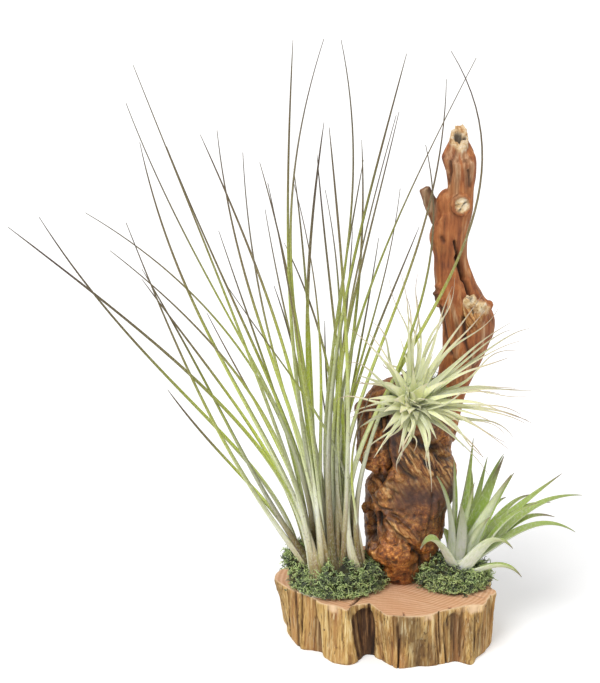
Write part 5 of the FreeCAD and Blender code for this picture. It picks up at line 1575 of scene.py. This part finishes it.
def within_rim(points, margin):
    """Points drawn in towards the slab's middle until they lie a margin inside its top edge."""
    rim = through_round(SLAB_TOP_SHARES, 360) * np.array([SLAB_WIDTH, SLAB_DEPTH]) / 2
    full = 2 * math.pi
    turn = np.unwrap(np.arctan2(rim[:, 1], rim[:, 0])) % full
    order = np.argsort(turn)
    limit = np.interp(np.arctan2(points[:, 1], points[:, 0]) % full, turn[order],
                      np.linalg.norm(rim, axis=1)[order], period=full) - margin
    reach = np.hypot(points[:, 0], points[:, 1])
    share = np.minimum(1.0, limit / np.maximum(reach, 1.0))
    return points * np.stack([share, share, np.ones(len(points))], -1)


def strands(roots, ways, lengths, radius, rng):
    """Sprigs of lichen: a bent stem and four forks, each a thin three-sided tube that tapers.
    Returns points (sprig, tube point, 3), the faces of one sprig and each point's share along."""
    count = len(roots)
    side = unit(np.cross(ways, rng.normal(size=(count, 3))))
    other = np.cross(ways, side)
    bend = side * rng.uniform(-1.5, 1.5, (count, 1)) + other * rng.uniform(-1.5, 1.5, (count, 1))
    bend = bend / np.maximum(1.0, np.linalg.norm(bend, axis=1, keepdims=True) / 1.25)
    run = np.linspace(0, 1, 5)
    t = run[None, :, None]
    stem = roots[:, None] + lengths[:, None, None] * (ways[:, None] * t + bend[:, None] * t ** 2 * 0.8)
    lines = [(stem, run, 1.0)]
    run = np.linspace(0, 1, 4)
    t = run[None, :, None]
    for share in (0.35, 0.55, 0.72, 0.9):
        root = roots + lengths[:, None] * (ways * share + bend * share ** 2 * 0.8)
        turn = rng.uniform(0, 2 * math.pi, (count, 1))
        away = side * np.cos(turn) + other * np.sin(turn)
        way = unit(ways * 0.55 + away)
        hook = unit(rng.normal(size=(count, 3)))
        reach = (lengths * rng.uniform(0.35, 0.6, count))[:, None, None]
        fork = root[:, None] + reach * (way[:, None] * np.sin(2.4 * t) + hook[:, None] * t ** 2)
        lines.append((fork, share + (1 - share) * run, 0.85))

    points, faces, along = [], [], []
    first = 0
    turns = 2 * math.pi * np.arange(3) / 3
    cos, sin = np.cos(turns)[None, None, :, None], np.sin(turns)[None, None, :, None]
    for line, run, girth in lines:
        rows = line.shape[1]
        path = unit(np.gradient(line, axis=1))
        across = unit(np.cross(path, [0.37, 0.55, 0.75]))
        up = np.cross(path, across)
        size = radius * girth * np.linspace(1.0, 0.5, rows)[None, :, None, None]
        ring = line[:, :, None] + size * (across[:, :, None] * cos + up[:, :, None] * sin)
        ends = np.stack([line[:, 0], line[:, -1]], 1)
        points.append(np.concatenate([ring.reshape(count, -1, 3), ends], 1))
        faces += tube_faces(rows, 3, first, first + rows * 3)
        along.append(np.concatenate([np.repeat(run, 3), [run[0], run[-1]]]))
        first += rows * 3 + 2
    return np.concatenate(points, 1), faces, np.concatenate(along)


def sprig_piece(name, roots, ways, length, radius, seed):
    """Sprigs on their roots as one piece. A sprig that rises more than 1.3 lengths over its root
    is pressed down to that."""
    rng = np.random.default_rng(seed)
    count = len(roots)
    lengths = length * rng.uniform(0.6, 1.25, count)
    points, faces, along = strands(roots, ways, lengths, radius, rng)
    size = points.shape[1]
    rise = points[..., 2] - roots[:, 2:3]
    most = rise.max(1, keepdims=True).clip(0.1)
    points[..., 2] = roots[:, 2:3] + rise * np.minimum(1.0, 1.3 * length / most)
    tone = np.clip(0.5 + 0.45 * rough(roots, 8.0, seed, 2) + rng.uniform(-0.55, 0.55, count), 0, 1)
    masks = {"along": np.tile(along, count), "tone": np.repeat(tone, size)}
    material = moss_material(name + " strand", *MOSS_STRAND_COLOURS)
    piece = make_piece(name + "_strands", points.reshape(-1, 3), repeated(faces, size, count),
                       material, masks)


def moss_bed(name, points, faces, seed):
    """The bed that shows between a clump's sprigs, near-black as painted shade."""
    material = moss_material(name + " bed", *MOSS_BED_COLOURS)
    masks = {"along": np.full(len(points), 0.3), "tone": 0.5 + 0.5 * rough(points, 5.0, seed)}
    piece = make_piece(name + "_bed", points, faces, material, masks)
    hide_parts(name)


def make_moss(name, middle, halves, height, heaps, turned, count, seed):
    """A clump on the slab: a lumpy bed of painted near-black shade, and sprigs that stand out of it all
    over.
    """
    centre = np.array([*middle, SLAB_THICKNESS])
    inner = np.array(halves) - MOSS_BED_INSET

    def skin(angle, level):
        low = height - MOSS_BED_DROP
        return mound_surface(centre, inner, low, math.radians(turned), angle, level)

    def front_arc(turn, wide, back, deep, z):
        return np.stack([centre[0] + wide * halves[0] * np.cos(turn),
                         centre[1] - back + deep * halves[1] * np.sin(turn), z], -1)

    angle, level = np.meshgrid(circle(MOSS_BED_AROUND), np.linspace(0.0, 0.97, MOSS_BED_ROWS))
    bed = skin(angle.ravel(), level.ravel())
    bed = bed + (2.2 * rough(bed, 9.0, seed, 3))[:, None] * np.array([0.5, 0.5, 1.0])
    bed = within_rim(heaped(bed, centre, heaps), BED_MARGIN)
    bed[:, 2] = np.maximum(bed[:, 2], centre[2] + 0.1)
    moss_bed(name, *closed_tube(bed.reshape(MOSS_BED_ROWS, MOSS_BED_AROUND, 3)), seed + 1)

    # Sprigs all over: three times as many as needed are tried, and kept in patches
    rng = np.random.default_rng(seed + 2)
    angle = rng.uniform(0, 2 * math.pi, count * 3)
    level = rng.uniform(0.0, 1.0, count * 3) ** 0.9
    surface = skin(angle, level)
    apart = (surface[:, :2] - centre[:2]) / halves
    weight = np.hypot(apart[:, 0], apart[:, 1]) + 0.1
    patch = 0.55 + 1.2 * np.clip(0.5 + rough(surface, 8.0, seed, 2), 0, 1)
    keep = rng.uniform(0, 1.1, count * 3) < weight * patch
    ahead = skin(angle + 0.01, level)
    above = skin(angle, np.clip(level + 0.01, 0, 1) + 1e-4)
    normal = unit(np.cross(ahead - surface, above - surface) + UP * 1e-3)
    surface, normal = surface[keep][:count], normal[keep][:count]
    ways = unit(normal + rng.normal(size=normal.shape) * 0.55 + UP * 0.15)

    # More of them in front: up the glue under the plant, and along the clump's foot
    turn = rng.uniform(-math.pi, 0, count // 7)
    rise = centre[2] + 0.8 + rng.uniform(0, 0.4, len(turn)) * height
    glue = front_arc(turn, 0.58, 7, 0.66, rise)
    out = np.stack([0.4 * np.cos(turn), -0.5 + 0 * turn, 0.7 + 0 * turn], -1)
    roots = np.concatenate([surface - normal * 0.8, glue])
    roots = within_rim(heaped(roots, centre, heaps), SPRIG_MARGIN)
    turn = np.linspace(-math.pi, 0, len(turn))
    foot = front_arc(turn, 0.76, 3, 0.88, np.full(len(turn), centre[2] + 0.6))
    roots = np.concatenate([roots, within_rim(foot, FOOT_MARGIN)])
    ways = np.concatenate([ways, unit(out + rng.normal(size=out.shape) * 0.35), unit(out + UP * 0.5)])
    sprig_piece(name, roots, ways, *SLAB_SPRIG, seed + 3)


def make_top_moss():
    """The cushion of moss between the top plant and the wood: an egg of sprigs that lean out."""
    seat = top_seat()
    points, faces = closed_tube(lobe(seat, TOP_MOSS_HALVES, 0.0))
    moss_bed("moss_top", points + rough(points, 4.0, 501)[:, None] * 0.8, faces, 503)
    rng = np.random.default_rng(505)
    ways = unit(rng.normal(size=(TOP_MOSS_SPRIGS, 3)))
    ways = ways[ways[:, 1] < 0.25]
    roots = seat + ways * np.array(TOP_MOSS_ROOT_HALVES)
    ways = unit(ways + rng.normal(size=ways.shape) * 0.4)
    sprig_piece("moss_top", roots, ways, *TOP_SPRIG, 507)


for name, clump in MOSS_CLUMPS.items():
    make_moss(name, *clump)
make_top_moss()


# CAD nodes that keep their own shape
def finish_nodes():
    """Materials for the solids that show as they are."""
    brown = crown_material("papery brown sheath", "#4E3A22", "#8A6A42", "#BFA57A")
    green = crown_material("pale green sheath", "#8E9E62", "#B8C68C", "#DCE2C0")
    glue = glue_material()
    finishes = {"foot_screws": steel_material(), "glue_left": glue, "glue_right": glue,
                "glue_top": glue, "rush_crowns": brown, "right_crown": green, "top_crown": green}
    for name, material in finishes.items():
        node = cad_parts[name]
        for slot in node.material_slots:
            slot.material = material
        if not node.material_slots:
            node.data.materials.append(material)


finish_nodes()
